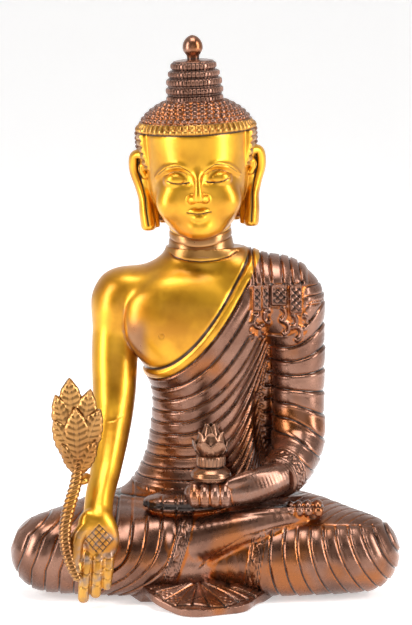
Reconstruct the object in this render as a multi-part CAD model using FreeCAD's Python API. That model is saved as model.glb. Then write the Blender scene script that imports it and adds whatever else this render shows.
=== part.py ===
import FreeCAD
import Part
import math
import os

# A seated brass figure, cast in pieces and joined by spigots, pins and braze.
# Millimetres. Origin on the ground under the middle of the figure, X to the figure's left,
# Y to its back, Z up.

# ---- driving dimensions ---------------------------------------------------------------------
KNEE_SPAN = 138.4          # tip of one knee to the tip of the other
SEAT_DEPTH = 75.0          # front of the shins to the back of the hips
HEM_REACH = 17.0           # how far the fan of robe hem runs out in front of the shins
LAP_HEIGHT = 38.0          # ground to the waist seam
TORSO_HEIGHT = 84.5        # waist seam to the neck seam
HEAD_HEIGHT = 56.0         # neck seam to the flat seat on the crown
KNOT_HEIGHT = 15.4         # stepped hair knot
FINIAL_HEIGHT = 9.2        # jewel on the knot
BODY_X = -1.5              # the spine stands a little off the middle of the knees
HEAD_LEAN = 2.5            # degrees that the head leans towards the figure's right

# ---- casting ---------------------------------------------------------------------------------
WALL = 3.0                 # casting wall
FLOOR = 3.0                # floor of the lower casting
BRAZE_GAP = 0.1            # all round between a spigot and its socket
PLAY = 0.1                 # pins and screws in their holes, on the radius

# ---- torso -----------------------------------------------------------------------------------
WAIST_HALF_WIDTH = 25.5
WAIST_HALF_DEPTH = 19.5
CHEST_HALF_WIDTH = 34.0
CHEST_HALF_DEPTH = 18.5
NECK_HALF_WIDTH = 12.6
NECK_HALF_DEPTH = 11.2
SHOULDER_SEAT = 27.0       # spine to the flat where each arm is joined on
SHOULDER_DROP = 18.0       # neck seam down to the middle of each shoulder
SPINE_SETBACK = 4.5        # spine behind the middle of the seat
LEG_SETBACK = 27.0         # middle of the legs behind the front of the shins

# ---- joints ----------------------------------------------------------------------------------
WAIST_SPIGOT_LENGTH = 6.0
NECK_SPIGOT_RADIUS = 7.5
NECK_SPIGOT_BORE = 4.5
NECK_SPIGOT_LENGTH = 7.0
ARM_SPIGOT_RADIUS = 4.5
ARM_SPIGOT_LENGTH = 8.0
WRIST_SPIGOT_RADIUS = 2.2
WRIST_SPIGOT_LENGTH = 5.0
KNOT_SPIGOT_RADIUS = 6.0
KNOT_SPIGOT_LENGTH = 4.0
FINIAL_TENON_RADIUS = 1.5
FINIAL_TENON_LENGTH = 5.0
BOWL_STUD_RADIUS = 2.2
BOWL_STUD_LENGTH = 3.0
BUD_STUD_RADIUS = 1.8
BUD_STUD_LENGTH = 2.5
LEAF_SPIGOT_RADIUS = 0.8
LEAF_SPIGOT_LENGTH = 3.0
WAIST_PIN_ASIDE = 9.0      # spine to each pin at the back of the waist
PIN_RADIUS = 1.0
COTTER_RADIUS = 0.8

# ---- arms and hands --------------------------------------------------------------------------
RIGHT_SHOULDER = (10.5, 11.0, 12.5)     # half sizes of the bare shoulder
PALM_INSET = 30.5          # tip of the right knee in to the middle of the right palm
PALM_CLEAR = 1.0           # gap between the shins and the back of the right hand
WRIST_HEIGHT = 36.0        # ground to the right wrist
WRIST_HALF_WIDTH = 5.3
WRIST_HALF_DEPTH = 4.3
FINGERTIP_HEIGHT = 2.2     # ground to the tip of the longest finger
BOWL_FORWARD = 34.0        # spine to the middle of the bowl
BOWL_ASIDE = 3.5           # spine to the middle of the bowl, towards the figure's left
PALM_LIFT = 6.5            # waist seam up to the palm that the bowl stands on
LEFT_WRIST_ASIDE = 28.0    # spine to the left wrist

# ---- bowl, bud, sprig ------------------------------------------------------------------------
BOWL_RADIUS = 7.4
BOWL_COLLAR_RADIUS = 5.2
BOWL_HEIGHT = 10.0
BUD_RADIUS = 6.6
BUD_HEIGHT = 12.6
STEM_RADIUS = 1.9
LEAF_HALF_WIDTH = 8.6
LEAF_HALF_DEPTH = 1.5
LEAF_HEIGHT = 30.0

# ---- head ------------------------------------------------------------------------------------
NECK_HEIGHT = 8.0          # neck seam to the underside of the jaw
SKULL_HALF_WIDTH = 21.8
SKULL_HALF_DEPTH = 22.5
HAIRLINE_SHARE = 0.78      # of the way from jaw to crown
EAR_LENGTH = 30.0
EAR_BEHIND = 2.0           # behind the neck's axis
EAR_THICKNESS = 4.6
EAR_DEPTH = 8.0
KNOT_RADIUS = 11.0
KNOT_RINGS = 5
KNOT_BORE = 3.5
FINIAL_RADIUS = 3.7
FINIAL_STEM_RADIUS = 2.5

# ---- hem fan and base ------------------------------------------------------------------------
FAN_HALF_WIDTH = 27.0
FAN_TUCK = 5.0             # how far the fan runs back under the shins
FAN_PLEATS = 11
FAN_FLUTE = 0.03           # depth of its fluted edge, as a share of its reach
PLATE_INSET = 33.0         # knee tip in to the end of the base plate
PLATE_HALF_DEPTH = 15.5
PLATE_THICKNESS = 1.2
PLATE_RECESS = 0.4         # plate above the ground, so the figure stands on its rim
PLATE_PLAY = 0.15
LEDGE = 5.0                # width of the ledge under the plate's edge
SCREW_RADIUS = 1.25
SCREW_HEAD_RADIUS = 2.3
SCREW_LENGTH = 7.0
BOSS_RADIUS = 3.4
BOSS_HEIGHT = 9.0

# ---- places worked out from the dimensions ---------------------------------------------------
KNEE = KNEE_SPAN / 2
TOTAL_DEPTH = SEAT_DEPTH + HEM_REACH
SHIN_Y = -TOTAL_DEPTH / 2 + HEM_REACH
BACK_Y = TOTAL_DEPTH / 2
SPINE_Y = BACK_Y - SEAT_DEPTH / 2 + SPINE_SETBACK
LEG_Y = SHIN_Y + LEG_SETBACK
NECK_Z = LAP_HEIGHT + TORSO_HEIGHT
SHOULDER_Z = NECK_Z - SHOULDER_DROP
BOWL_X = BODY_X + BOWL_ASIDE
BOWL_Y = SPINE_Y - BOWL_FORWARD
PALM_Z = LAP_HEIGHT + PALM_LIFT
HAND_X = -KNEE + PALM_INSET
HAND_Y = SHIN_Y - PALM_CLEAR
FAR = 400.0                # larger than the figure, for cutting blocks
FULL_TURN = 360.0


def at(x, y, z):
    return FreeCAD.Vector(x, y, z)


def oval(centre, across, along, half_across, half_along, points=12):
    """Closed smooth curve through an ellipse in the plane of two unit directions."""
    ring = []
    for i in range(points):
        a = 2 * math.pi * i / points
        ring.append(centre + across * (half_across * math.cos(a)) + along * (half_along * math.sin(a)))
    curve = Part.BSplineCurve()
    curve.interpolate(Points=ring, PeriodicFlag=True)
    return Part.Wire(curve.toShape())


def flat_oval(x, y, z, half_width, half_depth):
    return oval(at(x, y, z), at(1, 0, 0), at(0, 1, 0), half_width, half_depth)


def upright_oval(x, y, z, half_depth, half_height):
    return oval(at(x, y, z), at(0, 1, 0), at(0, 0, 1), half_depth, half_height)


def loft(sections):
    return Part.makeLoft(sections, True, False, False)


def slope(keys, k, column):
    """Slope of a smooth curve at one of its keys, flat where the keys turn."""
    before, here, after = keys[max(k - 1, 0)], keys[k], keys[min(k + 1, len(keys) - 1)]
    if before is here or after is here:
        return (after[column] - before[column]) / (after[0] - before[0])
    rise = (here[column] - before[column]) / (here[0] - before[0])
    run = (after[column] - here[column]) / (after[0] - here[0])
    return 2 * rise * run / (rise + run) if rise * run > 0 else 0.0


def eased(keys, place):
    """Values at a place on the smooth curve through keys, whose first value is their place."""
    i = 0
    while i < len(keys) - 2 and place > keys[i + 1][0]:
        i += 1
    span = keys[i + 1][0] - keys[i][0]
    t = (place - keys[i][0]) / span
    values = []
    for column in range(1, len(keys[0])):
        start, end = keys[i][column], keys[i + 1][column]
        lead, trail = span * slope(keys, i, column), span * slope(keys, i + 1, column)
        values.append(start + (3 * t * t - 2 * t ** 3) * (end - start)
                      + (t ** 3 - 2 * t * t + t) * lead + (t ** 3 - t * t) * trail)
    return values


def evenly(keys, count):
    """Keys set out again at even distances, so that a loft through them stays fair."""
    low = keys[0][0]
    high = keys[-1][0]
    places = [low + (high - low) * i / count for i in range(count + 1)]
    return [[place, *eased(keys, place)] for place in places]


def limb(stations, count=9):
    """Solid through ovals square to a path. A station is (point, half width, half depth)."""
    keys = []
    gone = 0.0
    for i, (point, half_width, half_depth) in enumerate(stations):
        gone += at(*point).distanceToPoint(at(*stations[max(i - 1, 0)][0]))
        keys.append((gone, *point, half_width, half_depth))
    even = evenly(keys, count)
    points = [at(*row[1:4]) for row in even]
    wires = []
    for i, row in enumerate(even):
        ahead = points[min(i + 1, count)] - points[max(i - 1, 0)]
        ahead.normalize()
        side = ahead.cross(at(0, 1, 0))
        side.normalize()
        wires.append(oval(points[i], side, side.cross(ahead), row[4], row[5]))
    return loft(wires)


def stack(keys, shift=(0.0, 0.0), shrink=0.0, count=9):
    """Solid through level ovals. A key is (height, half width, half depth, forward, aside)."""
    wires = []
    for height, half_width, half_depth, forward, aside in evenly(keys, count):
        place = (shift[0] + aside, shift[1] - forward, height)
        wires.append(flat_oval(*place, half_width - shrink, half_depth - shrink))
    return loft(wires)


def oval_plug(x, y, low, high, half_width, half_depth):
    return loft([flat_oval(x, y, z, half_width, half_depth) for z in (low, high)])


def ellipsoid(centre, half_sizes):
    stretch = FreeCAD.Matrix()
    stretch.scale(*half_sizes)
    ball = Part.makeSphere(1.0).transformGeometry(stretch)
    ball.translate(at(*centre))
    return ball


def finger(start, start_radius, end, end_radius):
    """Tapered bar with round ends."""
    axis = at(*end) - at(*start)
    balls = [Part.makeSphere(start_radius), Part.makeSphere(end_radius, at(0, 0, axis.Length))]
    bar = Part.makeCone(start_radius, end_radius, axis.Length).fuse(balls)
    bar.Placement = FreeCAD.Placement(at(*start), FreeCAD.Rotation(at(0, 0, 1), axis))
    return bar


def turned(profile):
    """Solid turned about Z from (radius, height) points, closed along the axis."""
    points = [at(r, 0, z) for r, z in profile]
    edges = [Part.makeLine(p, q) for p, q in zip(points, points[1:] + points[:1])]
    return Part.Face(Part.Wire(edges)).revolve(at(0, 0, 0), at(0, 0, 1), FULL_TURN)


def rod(start, direction, radius, length):
    return Part.makeCylinder(radius, length, at(*start), at(*direction))


def half_space(face_point, outward):
    """Large block on the outward side of a plane."""
    block = Part.makeBox(FAR, FAR, FAR, at(-FAR / 2, -FAR / 2, 0))
    block.Placement = FreeCAD.Placement(at(*face_point), FreeCAD.Rotation(at(0, 0, 1), at(*outward)))
    return block


def head_frame(shape, height=0.0):
    """Stands a shape on the leaning head axis, a height above the neck seam."""
    lean = FreeCAD.Placement(at(BODY_X, SPINE_Y, NECK_Z), FreeCAD.Rotation(at(0, 1, 0), -HEAD_LEAN))
    raised = lean.multiply(FreeCAD.Placement(at(0, 0, height), FreeCAD.Rotation()))
    shape.Placement = raised.multiply(shape.Placement)
    return shape


def save(shape, node):
    if not shape.isValid() or shape.Volume <= 0:
        raise ValueError(node + " is not a sound solid")
    shape.exportStep("parts/" + node + ".step")
    print(f"{node}: {len(shape.Solids)} solid, {shape.Volume:.0f} mm3")


# ---- lower casting: crossed legs, lap, feet and hem --------------------------------------------
# Share of the half span, forward, half depth, height of the middle and half height, the last two
# as shares of the lap's height.
LEG_OVALS = (
    (0.00, 0.0, 27.0, 0.42, 0.49),
    (0.45, 1.0, 26.0, 0.43, 0.48),
    (0.70, 7.0, 20.5, 0.42, 0.45),
    (0.84, 9.0, 16.2, 0.41, 0.37),
    (0.96, 9.8, 9.0, 0.41, 0.20),
    (1.00, 10.0, 4.2, 0.41, 0.10),
)
# Height as a share of the lap's, extra half width and half depth beyond the waist, and forward.
HIP_OVALS = ((-0.10, 8.0, 7.0, -4.5), (0.37, 10.5, 9.0, -4.5), (0.74, 5.5, 4.8, -2.5), (1.0, 0.0, 0.0, 0.0))


def legs(shrink=0.0):
    """Both folded legs in one form, the sections closing up towards the knees."""
    steps = 6
    widest_turn = math.radians(84)
    sections = []
    for i in range(-steps, steps + 1):
        share = math.sin(widest_turn * i / steps) / math.sin(widest_turn)
        forward, half_depth, mid, half_height = eased(LEG_OVALS, abs(share))
        place = (share * (KNEE - shrink), LEG_Y - forward, mid * LAP_HEIGHT)
        thinner = shrink * (1 - abs(share) ** 8)
        sections.append(upright_oval(*place, half_depth - thinner, half_height * LAP_HEIGHT - thinner))
    return loft(sections)


def hips(shrink=0.0):
    keys = [
        (share * LAP_HEIGHT, WAIST_HALF_WIDTH + wider, WAIST_HALF_DEPTH + deeper, forward, 0.0)
        for share, wider, deeper, forward in HIP_OVALS
    ]
    return stack(keys, (BODY_X, SPINE_Y), shrink, 7)


def hem_fan():
    """Fan of pleats on the ground, its edge fluted by a cosine."""
    middle = at(BODY_X + 2.0, SHIN_Y + FAN_TUCK, 0)
    points = FAN_PLEATS * 8
    rings = []
    for height, share in ((-1.0, 1.0), (2.6, 0.97), (7.5, 0.55)):
        ring = []
        for i in range(points):
            a = 2 * math.pi * i / points
            reach = share * (1 - FAN_FLUTE + FAN_FLUTE * math.cos(2 * FAN_PLEATS * a))
            across, along = FAN_HALF_WIDTH * math.cos(a), (HEM_REACH + FAN_TUCK) * math.sin(a)
            ring.append(middle + at(across * reach, along * reach, height))
        curve = Part.BSplineCurve()
        curve.interpolate(Points=ring, PeriodicFlag=True)
        rings.append(Part.Wire(curve.toShape()))
    return loft(rings)


def feet():
    """Right foot laid on the left thigh, left foot under the hand, both soles up."""
    shin_top = LAP_HEIGHT - 7.0
    right = limb((
        ((BODY_X - 2, SHIN_Y + 6.5, shin_top - 7.0), 5.5, 5.0),
        ((BODY_X + 14, SHIN_Y + 6.5, shin_top - 2.0), 5.2, 4.6),
        ((BODY_X + 28, SHIN_Y + 8.5, shin_top + 1.0), 4.6, 4.6),
        ((BODY_X + 41, SHIN_Y + 11.5, shin_top + 1.5), 2.6, 4.0),
    ))
    left = limb((
        ((BODY_X + 12, BOWL_Y + 2.0, LAP_HEIGHT - 3.0), 3.4, 6.0),
        ((BODY_X - 4, BOWL_Y + 1.0, LAP_HEIGHT - 2.6), 3.4, 6.5),
        ((BODY_X - 16, BOWL_Y + 2.0, LAP_HEIGHT - 2.6), 2.4, 5.0),
    ))
    return right, left


def plate_half_width():
    return KNEE - PLATE_INSET


def screw_places():
    out = plate_half_width() - LEDGE / 2
    deep = PLATE_HALF_DEPTH - LEDGE / 2
    return ((out, 0), (-out, 0), (0, deep), (0, -deep))


def below_waist_outside():
    return legs().fuse([hips(), hem_fan(), *feet()]).cut(half_space((0, 0, 0), (0, 0, -1)))


def lower_body(outside):
    cavity = legs(shrink=WALL).fuse(hips(shrink=WALL)).cut(half_space((0, 0, FLOOR), (0, 0, -1)))
    mouth = oval_plug(BODY_X, SPINE_Y, LAP_HEIGHT - WALL, LAP_HEIGHT + 5.0,
                      WAIST_HALF_WIDTH - WALL, WAIST_HALF_DEPTH - WALL)
    opening = oval_plug(0, LEG_Y, -1.0, FLOOR + 1.0,
                        plate_half_width() - LEDGE, PLATE_HALF_DEPTH - LEDGE)
    rebate = oval_plug(0, LEG_Y, -1.0, PLATE_RECESS + PLATE_THICKNESS,
                       plate_half_width() + PLATE_PLAY, PLATE_HALF_DEPTH + PLATE_PLAY)
    shape = outside.cut([cavity, mouth, opening, rebate])
    bosses = []
    holes = []
    for x, y in screw_places():
        over_plate = (x, LEG_Y + y, PLATE_RECESS + PLATE_THICKNESS)
        bosses.append(rod(over_plate, (0, 0, 1), BOSS_RADIUS, BOSS_HEIGHT))
        holes.append(rod((x, LEG_Y + y, 0), (0, 0, 1), SCREW_RADIUS + PLAY, SCREW_LENGTH + 2.0))
    holes += [waist_pin(side, PLAY) for side in (1, -1)]
    return shape.fuse(bosses).cut(holes)


def base_plate():
    plate = oval_plug(0, LEG_Y, PLATE_RECESS, PLATE_RECESS + PLATE_THICKNESS,
                      plate_half_width(), PLATE_HALF_DEPTH)
    for x, y in screw_places():
        spot = (x, LEG_Y + y, 0)
        plate = plate.cut(rod(spot, (0, 0, 1), SCREW_RADIUS + PLAY, 4.0))
        sink = Part.makeCone(SCREW_HEAD_RADIUS + PLAY, SCREW_RADIUS + PLAY, PLATE_THICKNESS)
        sink.translate(at(x, LEG_Y + y, PLATE_RECESS))
        plate = plate.cut(sink)
    return plate


def base_screws():
    made = []
    for x, y in screw_places():
        head = Part.makeCone(SCREW_HEAD_RADIUS, SCREW_RADIUS, PLATE_THICKNESS)
        shank = Part.makeCylinder(SCREW_RADIUS, SCREW_LENGTH, at(0, 0, 0))
        slot = Part.makeBox(2 * SCREW_HEAD_RADIUS, 0.6, 0.5, at(-SCREW_HEAD_RADIUS, -0.3, 0))
        screw = head.fuse(shank).cut(slot)
        screw.translate(at(x, LEG_Y + y, PLATE_RECESS))
        made.append(screw)
    return Part.makeCompound(made)


# ---- torso --------------------------------------------------------------------------------------
def torso_form(shrink=0.0):
    """Waist, chest and neck. The robe fills the hollow between the waist and the draped arm."""
    waist, chest, neck = WAIST_HALF_WIDTH, CHEST_HALF_WIDTH, NECK_HALF_WIDTH
    waist_deep, chest_deep, neck_deep = WAIST_HALF_DEPTH, CHEST_HALF_DEPTH, NECK_HALF_DEPTH
    keys = (
        (0.00, waist, waist_deep, 0.0),
        (0.14, waist * 0.82, waist_deep * 0.87, 1.0),
        (0.36, waist * 0.74, waist_deep * 0.84, 1.0),
        (0.55, chest * 0.67, chest_deep * 0.97, 0.6),
        (0.72, chest * 0.90, chest_deep, 0.0),
        (0.83, chest, chest_deep * 0.90, 0.0),
        (0.90, chest * 0.87, chest_deep * 0.76, 0.0),
        (0.96, chest * 0.58, (chest_deep + neck_deep) * 0.42, 0.0),
        (1.00, neck, neck_deep, 0.0),
        (1.05, neck * 0.97, neck_deep * 0.97, 0.0),
    )
    heights = []
    for share, bare, deep, draped in keys:
        fill = draped * (SHOULDER_SEAT - bare) / 2
        heights.append((LAP_HEIGHT + share * TORSO_HEIGHT, bare + fill, deep, 0.0, fill))
    return stack(heights, (BODY_X, SPINE_Y), shrink, 21)


def shoulder_seat(side, inset=0.0):
    """Everything outside the flat where an arm joins. Side is 1 for the figure's left."""
    return half_space((BODY_X + side * (SHOULDER_SEAT - inset), SPINE_Y, SHOULDER_Z), (side, 0, 0))


def arm_spigot(side, gap=0.0):
    start = (BODY_X + side * (SHOULDER_SEAT + 2.0), SPINE_Y, SHOULDER_Z)
    return rod(start, (-side, 0, 0), ARM_SPIGOT_RADIUS + gap, ARM_SPIGOT_LENGTH + 2.0)


def arm_cotter(side, gap=0.0):
    """Cross pin through the end of an arm's spigot, inside the torso."""
    x = BODY_X + side * (SHOULDER_SEAT - WALL - 2.2)
    length = 2 * ARM_SPIGOT_RADIUS + 3.0
    return rod((x, SPINE_Y - length / 2, SHOULDER_Z), (0, 1, 0), COTTER_RADIUS + gap, length)


def waist_pin(side, gap=0.0):
    start = (
        BODY_X + side * WAIST_PIN_ASIDE,
        SPINE_Y + WAIST_HALF_DEPTH - WALL * 2.2,
        LAP_HEIGHT - WAIST_SPIGOT_LENGTH / 2,
    )
    return rod(start, (0, 1, 0), PIN_RADIUS + gap, WALL * 8)


def neck_pin(gap=0.0):
    """Pin from the back of the neck into the head's spigot, square to its axis."""
    start = (0, (NECK_SPIGOT_RADIUS + NECK_SPIGOT_BORE) / 2 - 1.0, -NECK_SPIGOT_LENGTH / 2 - 1.0)
    return head_frame(rod(start, (0, 1, 0), PIN_RADIUS + gap, NECK_HALF_DEPTH * 3))


def torso():
    top = half_space((BODY_X, SPINE_Y, NECK_Z - NECK_SPIGOT_LENGTH - 2.0), (0, 0, 1))
    bottom = half_space((BODY_X, SPINE_Y, LAP_HEIGHT + WALL), (0, 0, -1))
    cavity = torso_form(shrink=WALL).cut([shoulder_seat(1, WALL), shoulder_seat(-1, WALL), top, bottom])
    half_width = WAIST_HALF_WIDTH - WALL - BRAZE_GAP
    half_depth = WAIST_HALF_DEPTH - WALL - BRAZE_GAP
    spigot_end = LAP_HEIGHT - WAIST_SPIGOT_LENGTH
    spigot = oval_plug(BODY_X, SPINE_Y, spigot_end, LAP_HEIGHT + 0.5, half_width, half_depth)
    core = oval_plug(BODY_X, SPINE_Y, spigot_end - 1.0, LAP_HEIGHT + WALL * 2,
                     half_width - WALL, half_depth - WALL)
    neck_bore = rod((0, 0, -NECK_SPIGOT_LENGTH - 4.0), (0, 0, 1),
                    NECK_SPIGOT_RADIUS + BRAZE_GAP, NECK_SPIGOT_LENGTH + 6.0)
    holes = [head_frame(half_space((0, 0, 0), (0, 0, 1))), head_frame(neck_bore), neck_pin(PLAY)]
    for side in (1, -1):
        holes += [shoulder_seat(side), arm_spigot(side, BRAZE_GAP), waist_pin(side, PLAY)]
    return torso_form().fuse(spigot).cut([cavity, core]).cut(holes)


# ---- arms ------------------------------------------------------------------------------------
def shoulder_point(side, out):
    return (BODY_X + side * out, SPINE_Y, SHOULDER_Z)


def right_wrist_frame(shape):
    """Stands a shape on the axis that runs up the right wrist."""
    lean = FreeCAD.Rotation(at(0, 0, 1), at(0.12, 0.45, 1.0))
    wrist = FreeCAD.Placement(at(HAND_X, HAND_Y + 3.0, WRIST_HEIGHT), lean)
    shape.Placement = wrist.multiply(shape.Placement)
    return shape


def wrist_spigot():
    return rod((0, 0, -3.0), (0, 0, 1), WRIST_SPIGOT_RADIUS, WRIST_SPIGOT_LENGTH + 3.0)


def wrist_socket():
    return rod((0, 0, -1.0), (0, 0, 1), WRIST_SPIGOT_RADIUS + BRAZE_GAP, WRIST_SPIGOT_LENGTH + 1.5)


def right_arm():
    elbow_z = (SHOULDER_Z + WRIST_HEIGHT) / 2 - 4.0
    shoulder_x = BODY_X - SHOULDER_SEAT - 4.5
    wrist = (HAND_X, HAND_Y + 3.0, WRIST_HEIGHT)
    arm = limb((
        ((shoulder_x + 1.0, SPINE_Y, SHOULDER_Z + 6.0), 6.6, 7.4),
        ((shoulder_x - 0.6, SPINE_Y, SHOULDER_Z - 4.0), 9.3, 9.8),
        ((shoulder_x - 1.5, SPINE_Y - 2.0, SHOULDER_Z - 18.0), 8.6, 9.0),
        ((shoulder_x - 1.0, SPINE_Y - 8.0, elbow_z + 3.0), 7.8, 8.0),
        ((shoulder_x - 1.5, SPINE_Y - 18.0, elbow_z - 10.0), 6.9, 6.8),
        ((wrist[0] + 1.2, wrist[1] + 5.0, wrist[2] + 9.0), 5.5, 4.9),
        (wrist, WRIST_HALF_WIDTH, WRIST_HALF_DEPTH),
        ((wrist[0] - 0.8, wrist[1] - 2.6, wrist[2] - 6.0), WRIST_HALF_WIDTH, WRIST_HALF_DEPTH),
    ), 14)
    cap = ellipsoid(shoulder_point(-1, SHOULDER_SEAT + 2.5), RIGHT_SHOULDER)
    below_wrist = right_wrist_frame(half_space((0, 0, 0), (0, 0, -1)))
    seat = half_space((BODY_X - SHOULDER_SEAT, SPINE_Y, SHOULDER_Z), (1, 0, 0))
    socket = right_wrist_frame(wrist_socket())
    shape = arm.fuse(cap).cut([seat, below_wrist]).fuse(arm_spigot(-1))
    return shape.cut([socket, arm_cotter(-1, PLAY)])


def right_hand():
    wrist = (HAND_X, HAND_Y + 3.0, WRIST_HEIGHT)
    knuckles = WRIST_HEIGHT - 16.0
    palm = limb((
        ((wrist[0] + 0.8, wrist[1] + 2.6, wrist[2] + 6.0), WRIST_HALF_WIDTH - 0.1, WRIST_HALF_DEPTH - 0.1),
        (wrist, WRIST_HALF_WIDTH, WRIST_HALF_DEPTH),
        ((HAND_X, HAND_Y - 2.5, WRIST_HEIGHT - 8.0), 6.4, 3.5),
        ((HAND_X + 0.3, HAND_Y - 3.2, knuckles), 6.6, 3.0),
        ((HAND_X + 0.4, HAND_Y - 3.4, knuckles - 3.0), 5.6, 2.2),
    ))
    palm = palm.cut(right_wrist_frame(half_space((0, 0, 0), (0, 0, 1))))
    y = HAND_Y - 3.6
    thumb_top = WRIST_HEIGHT - 8.0
    fingers = [
        finger((HAND_X - 3.6, y, knuckles), 2.1, (HAND_X - 5.6, y, FINGERTIP_HEIGHT + 1.7), 1.7),
        finger((HAND_X + 0.6, y, knuckles), 2.0, (HAND_X - 0.4, y, FINGERTIP_HEIGHT + 3.4), 1.65),
        finger((HAND_X + 4.6, y, knuckles), 1.8, (HAND_X + 4.0, y, FINGERTIP_HEIGHT + 6.4), 1.5),
        finger((HAND_X - 5.0, y, thumb_top), 2.4, (HAND_X - 8.4, y - 2.0, thumb_top - 11.5), 1.7),
        finger((HAND_X - 5.6, y, knuckles + 1.0), 1.9, (HAND_X - 6.6, y - 2.8, knuckles - 3.0), 1.6),
    ]
    return palm.fuse(fingers + [right_wrist_frame(wrist_spigot())])


def left_wrist_frame(shape):
    """Stands a shape on the axis that runs up the left forearm from the wrist."""
    along = FreeCAD.Rotation(at(0, 0, 1), at(1.0, 0.75, 0.16))
    wrist = FreeCAD.Placement(at(*left_wrist()), along)
    shape.Placement = wrist.multiply(shape.Placement)
    return shape


def left_wrist():
    return (BODY_X + LEFT_WRIST_ASIDE, BOWL_Y + 6.5, PALM_Z - 1.2)


def left_arm():
    elbow = (BODY_X + SHOULDER_SEAT + 9.0, SPINE_Y - 3.0, PALM_Z + 6.0)
    wrist = left_wrist()
    forearm = elbow[1] - wrist[1]
    sleeve = limb((
        ((BODY_X + SHOULDER_SEAT - 6.0, SPINE_Y, SHOULDER_Z + 6.0), 7.5, 8.0),
        ((BODY_X + SHOULDER_SEAT + 2.0, SPINE_Y, SHOULDER_Z + 2.0), 12.5, 11.5),
        ((BODY_X + SHOULDER_SEAT + 6.5, SPINE_Y, SHOULDER_Z - 10.0), 11.5, 11.2),
        ((BODY_X + SHOULDER_SEAT + 9.0, SPINE_Y - 0.5, (SHOULDER_Z + elbow[2]) / 2), 9.7, 10.5),
        ((elbow[0] + 0.2, SPINE_Y - 1.0, elbow[2] + 12.0), 9.4, 10.0),
        ((elbow[0] - 1.5, elbow[1] - 0.16 * forearm, elbow[2] + 1.5), 9.0, 9.6),
        ((elbow[0] - 4.5, elbow[1] - 0.47 * forearm, elbow[2] - 3.0), 7.4, 8.2),
        ((wrist[0] + 2.6, wrist[1] + 0.12 * forearm, wrist[2] + 0.8), 6.8, 6.2),
        ((wrist[0] - 4.0, wrist[1] - 2.4, wrist[2] - 0.4), 6.4, 5.8),
    ), 18)
    trim_corner = at(BODY_X + SHOULDER_SEAT - FAR, SPINE_Y - FAR / 2, elbow[2] + 8.0)
    trim = Part.makeBox(FAR, FAR, FAR, trim_corner)
    past_wrist = left_wrist_frame(half_space((0, 0, 0), (0, 0, -1)))
    sleeve = sleeve.cut([trim, past_wrist, left_wrist_frame(wrist_socket())])
    return sleeve.fuse(arm_spigot(1)).cut(arm_cotter(1, PLAY))


def left_hand():
    wrist = left_wrist()
    z = PALM_Z - 3.4
    palm = limb((
        ((wrist[0] + 5.0, wrist[1] + 4.0, wrist[2] + 0.6), 4.6, 4.8),
        ((wrist[0] - 2.0, wrist[1] - 1.5, wrist[2] - 0.5), 4.6, 4.8),
        ((BOWL_X + 13.0, BOWL_Y + 1.2, z + 0.6), 4.2, 6.0),
        ((BOWL_X + 2.0, BOWL_Y, z), 3.4, 7.0),
        ((BOWL_X - 5.0, BOWL_Y, z + 0.4), 3.0, 6.2),
    ))
    palm = palm.cut(left_wrist_frame(half_space((0, 0, 0), (0, 0, 1))))
    fingers = [
        finger((BOWL_X - 3.0, BOWL_Y + y, z), 1.9, (BOWL_X - 8.0, BOWL_Y + y * 0.8, z + rise), 1.5)
        for y, rise in ((-5.4, 0.6), (-1.8, 1.6), (1.8, 2.2), (5.2, 1.8))
    ]
    seat = rod((BOWL_X, BOWL_Y, z), (0, 0, 1), BOWL_RADIUS * 0.72, PALM_Z - z)
    level = rod((BOWL_X, BOWL_Y, PALM_Z), (0, 0, 1), BOWL_RADIUS * 0.8, BOWL_HEIGHT)
    stud_end = (BOWL_X, BOWL_Y, PALM_Z - BOWL_STUD_LENGTH - 0.3)
    hole = rod(stud_end, (0, 0, 1), BOWL_STUD_RADIUS + BRAZE_GAP, BOWL_HEIGHT)
    return palm.fuse(fingers + [seat, left_wrist_frame(wrist_spigot())]).cut([level, hole])


# ---- head ----------------------------------------------------------------------------------------
# Height as a share of the way from jaw to crown, half width and half depth as shares of the
# skull's, and how far the middle stands in front of the neck's axis.
FACE_OVALS = (
    (0.00, 0.36, 0.50, 6.0),
    (0.08, 0.52, 0.64, 5.0),
    (0.24, 0.68, 0.78, 4.0),
    (0.48, 0.80, 0.90, 3.0),
    (0.70, 0.83, 0.94, 2.5),
    (0.86, 0.70, 0.80, 1.5),
)
HAIR_OVALS = (
    (0.10, 0.74, 0.70, -3.0),
    (0.40, 0.92, 0.92, -0.5),
    (0.70, 1.00, 1.00, 0.5),
    (0.84, 0.92, 0.92, 0.5),
    (0.94, 0.74, 0.74, 0.2),
    (1.00, 0.53, 0.53, 0.0),
)
EAR_OVALS = (
    (0.00, 0.30, 0.22, -2.0),
    (0.25, 0.42, 0.32, -1.2),
    (0.60, 0.46, 0.42, 0.0),
    (0.90, 0.44, 0.46, 0.6),
    (1.00, 0.28, 0.28, 0.6),
)


def skull_keys(ovals):
    rise = HEAD_HEIGHT - NECK_HEIGHT
    keys = []
    for share, wide, deep, forward in ovals:
        half_sizes = (SKULL_HALF_WIDTH * wide, SKULL_HALF_DEPTH * deep)
        keys.append((NECK_HEIGHT + share * rise, *half_sizes, forward, 0.0))
    return keys


def ear(side):
    """Long ear, its lobe hanging free beside the jaw."""
    lobe_end = NECK_HEIGHT
    middle = side * (SKULL_HALF_WIDTH - EAR_THICKNESS * 0.45)
    sections = []
    for share, thick, deep, out in evenly(EAR_OVALS, 8):
        place = (middle + side * out, EAR_BEHIND, lobe_end + share * EAR_LENGTH)
        sections.append(flat_oval(*place, EAR_THICKNESS * thick, EAR_DEPTH * deep))
    return loft(sections)


def nose():
    front = SKULL_HALF_DEPTH * 0.92 + 2.5
    bridge = (0, -front + 1.0, NECK_HEIGHT + EAR_LENGTH * 0.9)
    tip = (0, -front - 0.6, NECK_HEIGHT + EAR_LENGTH * 0.52)
    return finger(bridge, 1.2, tip, 2.3)


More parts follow.
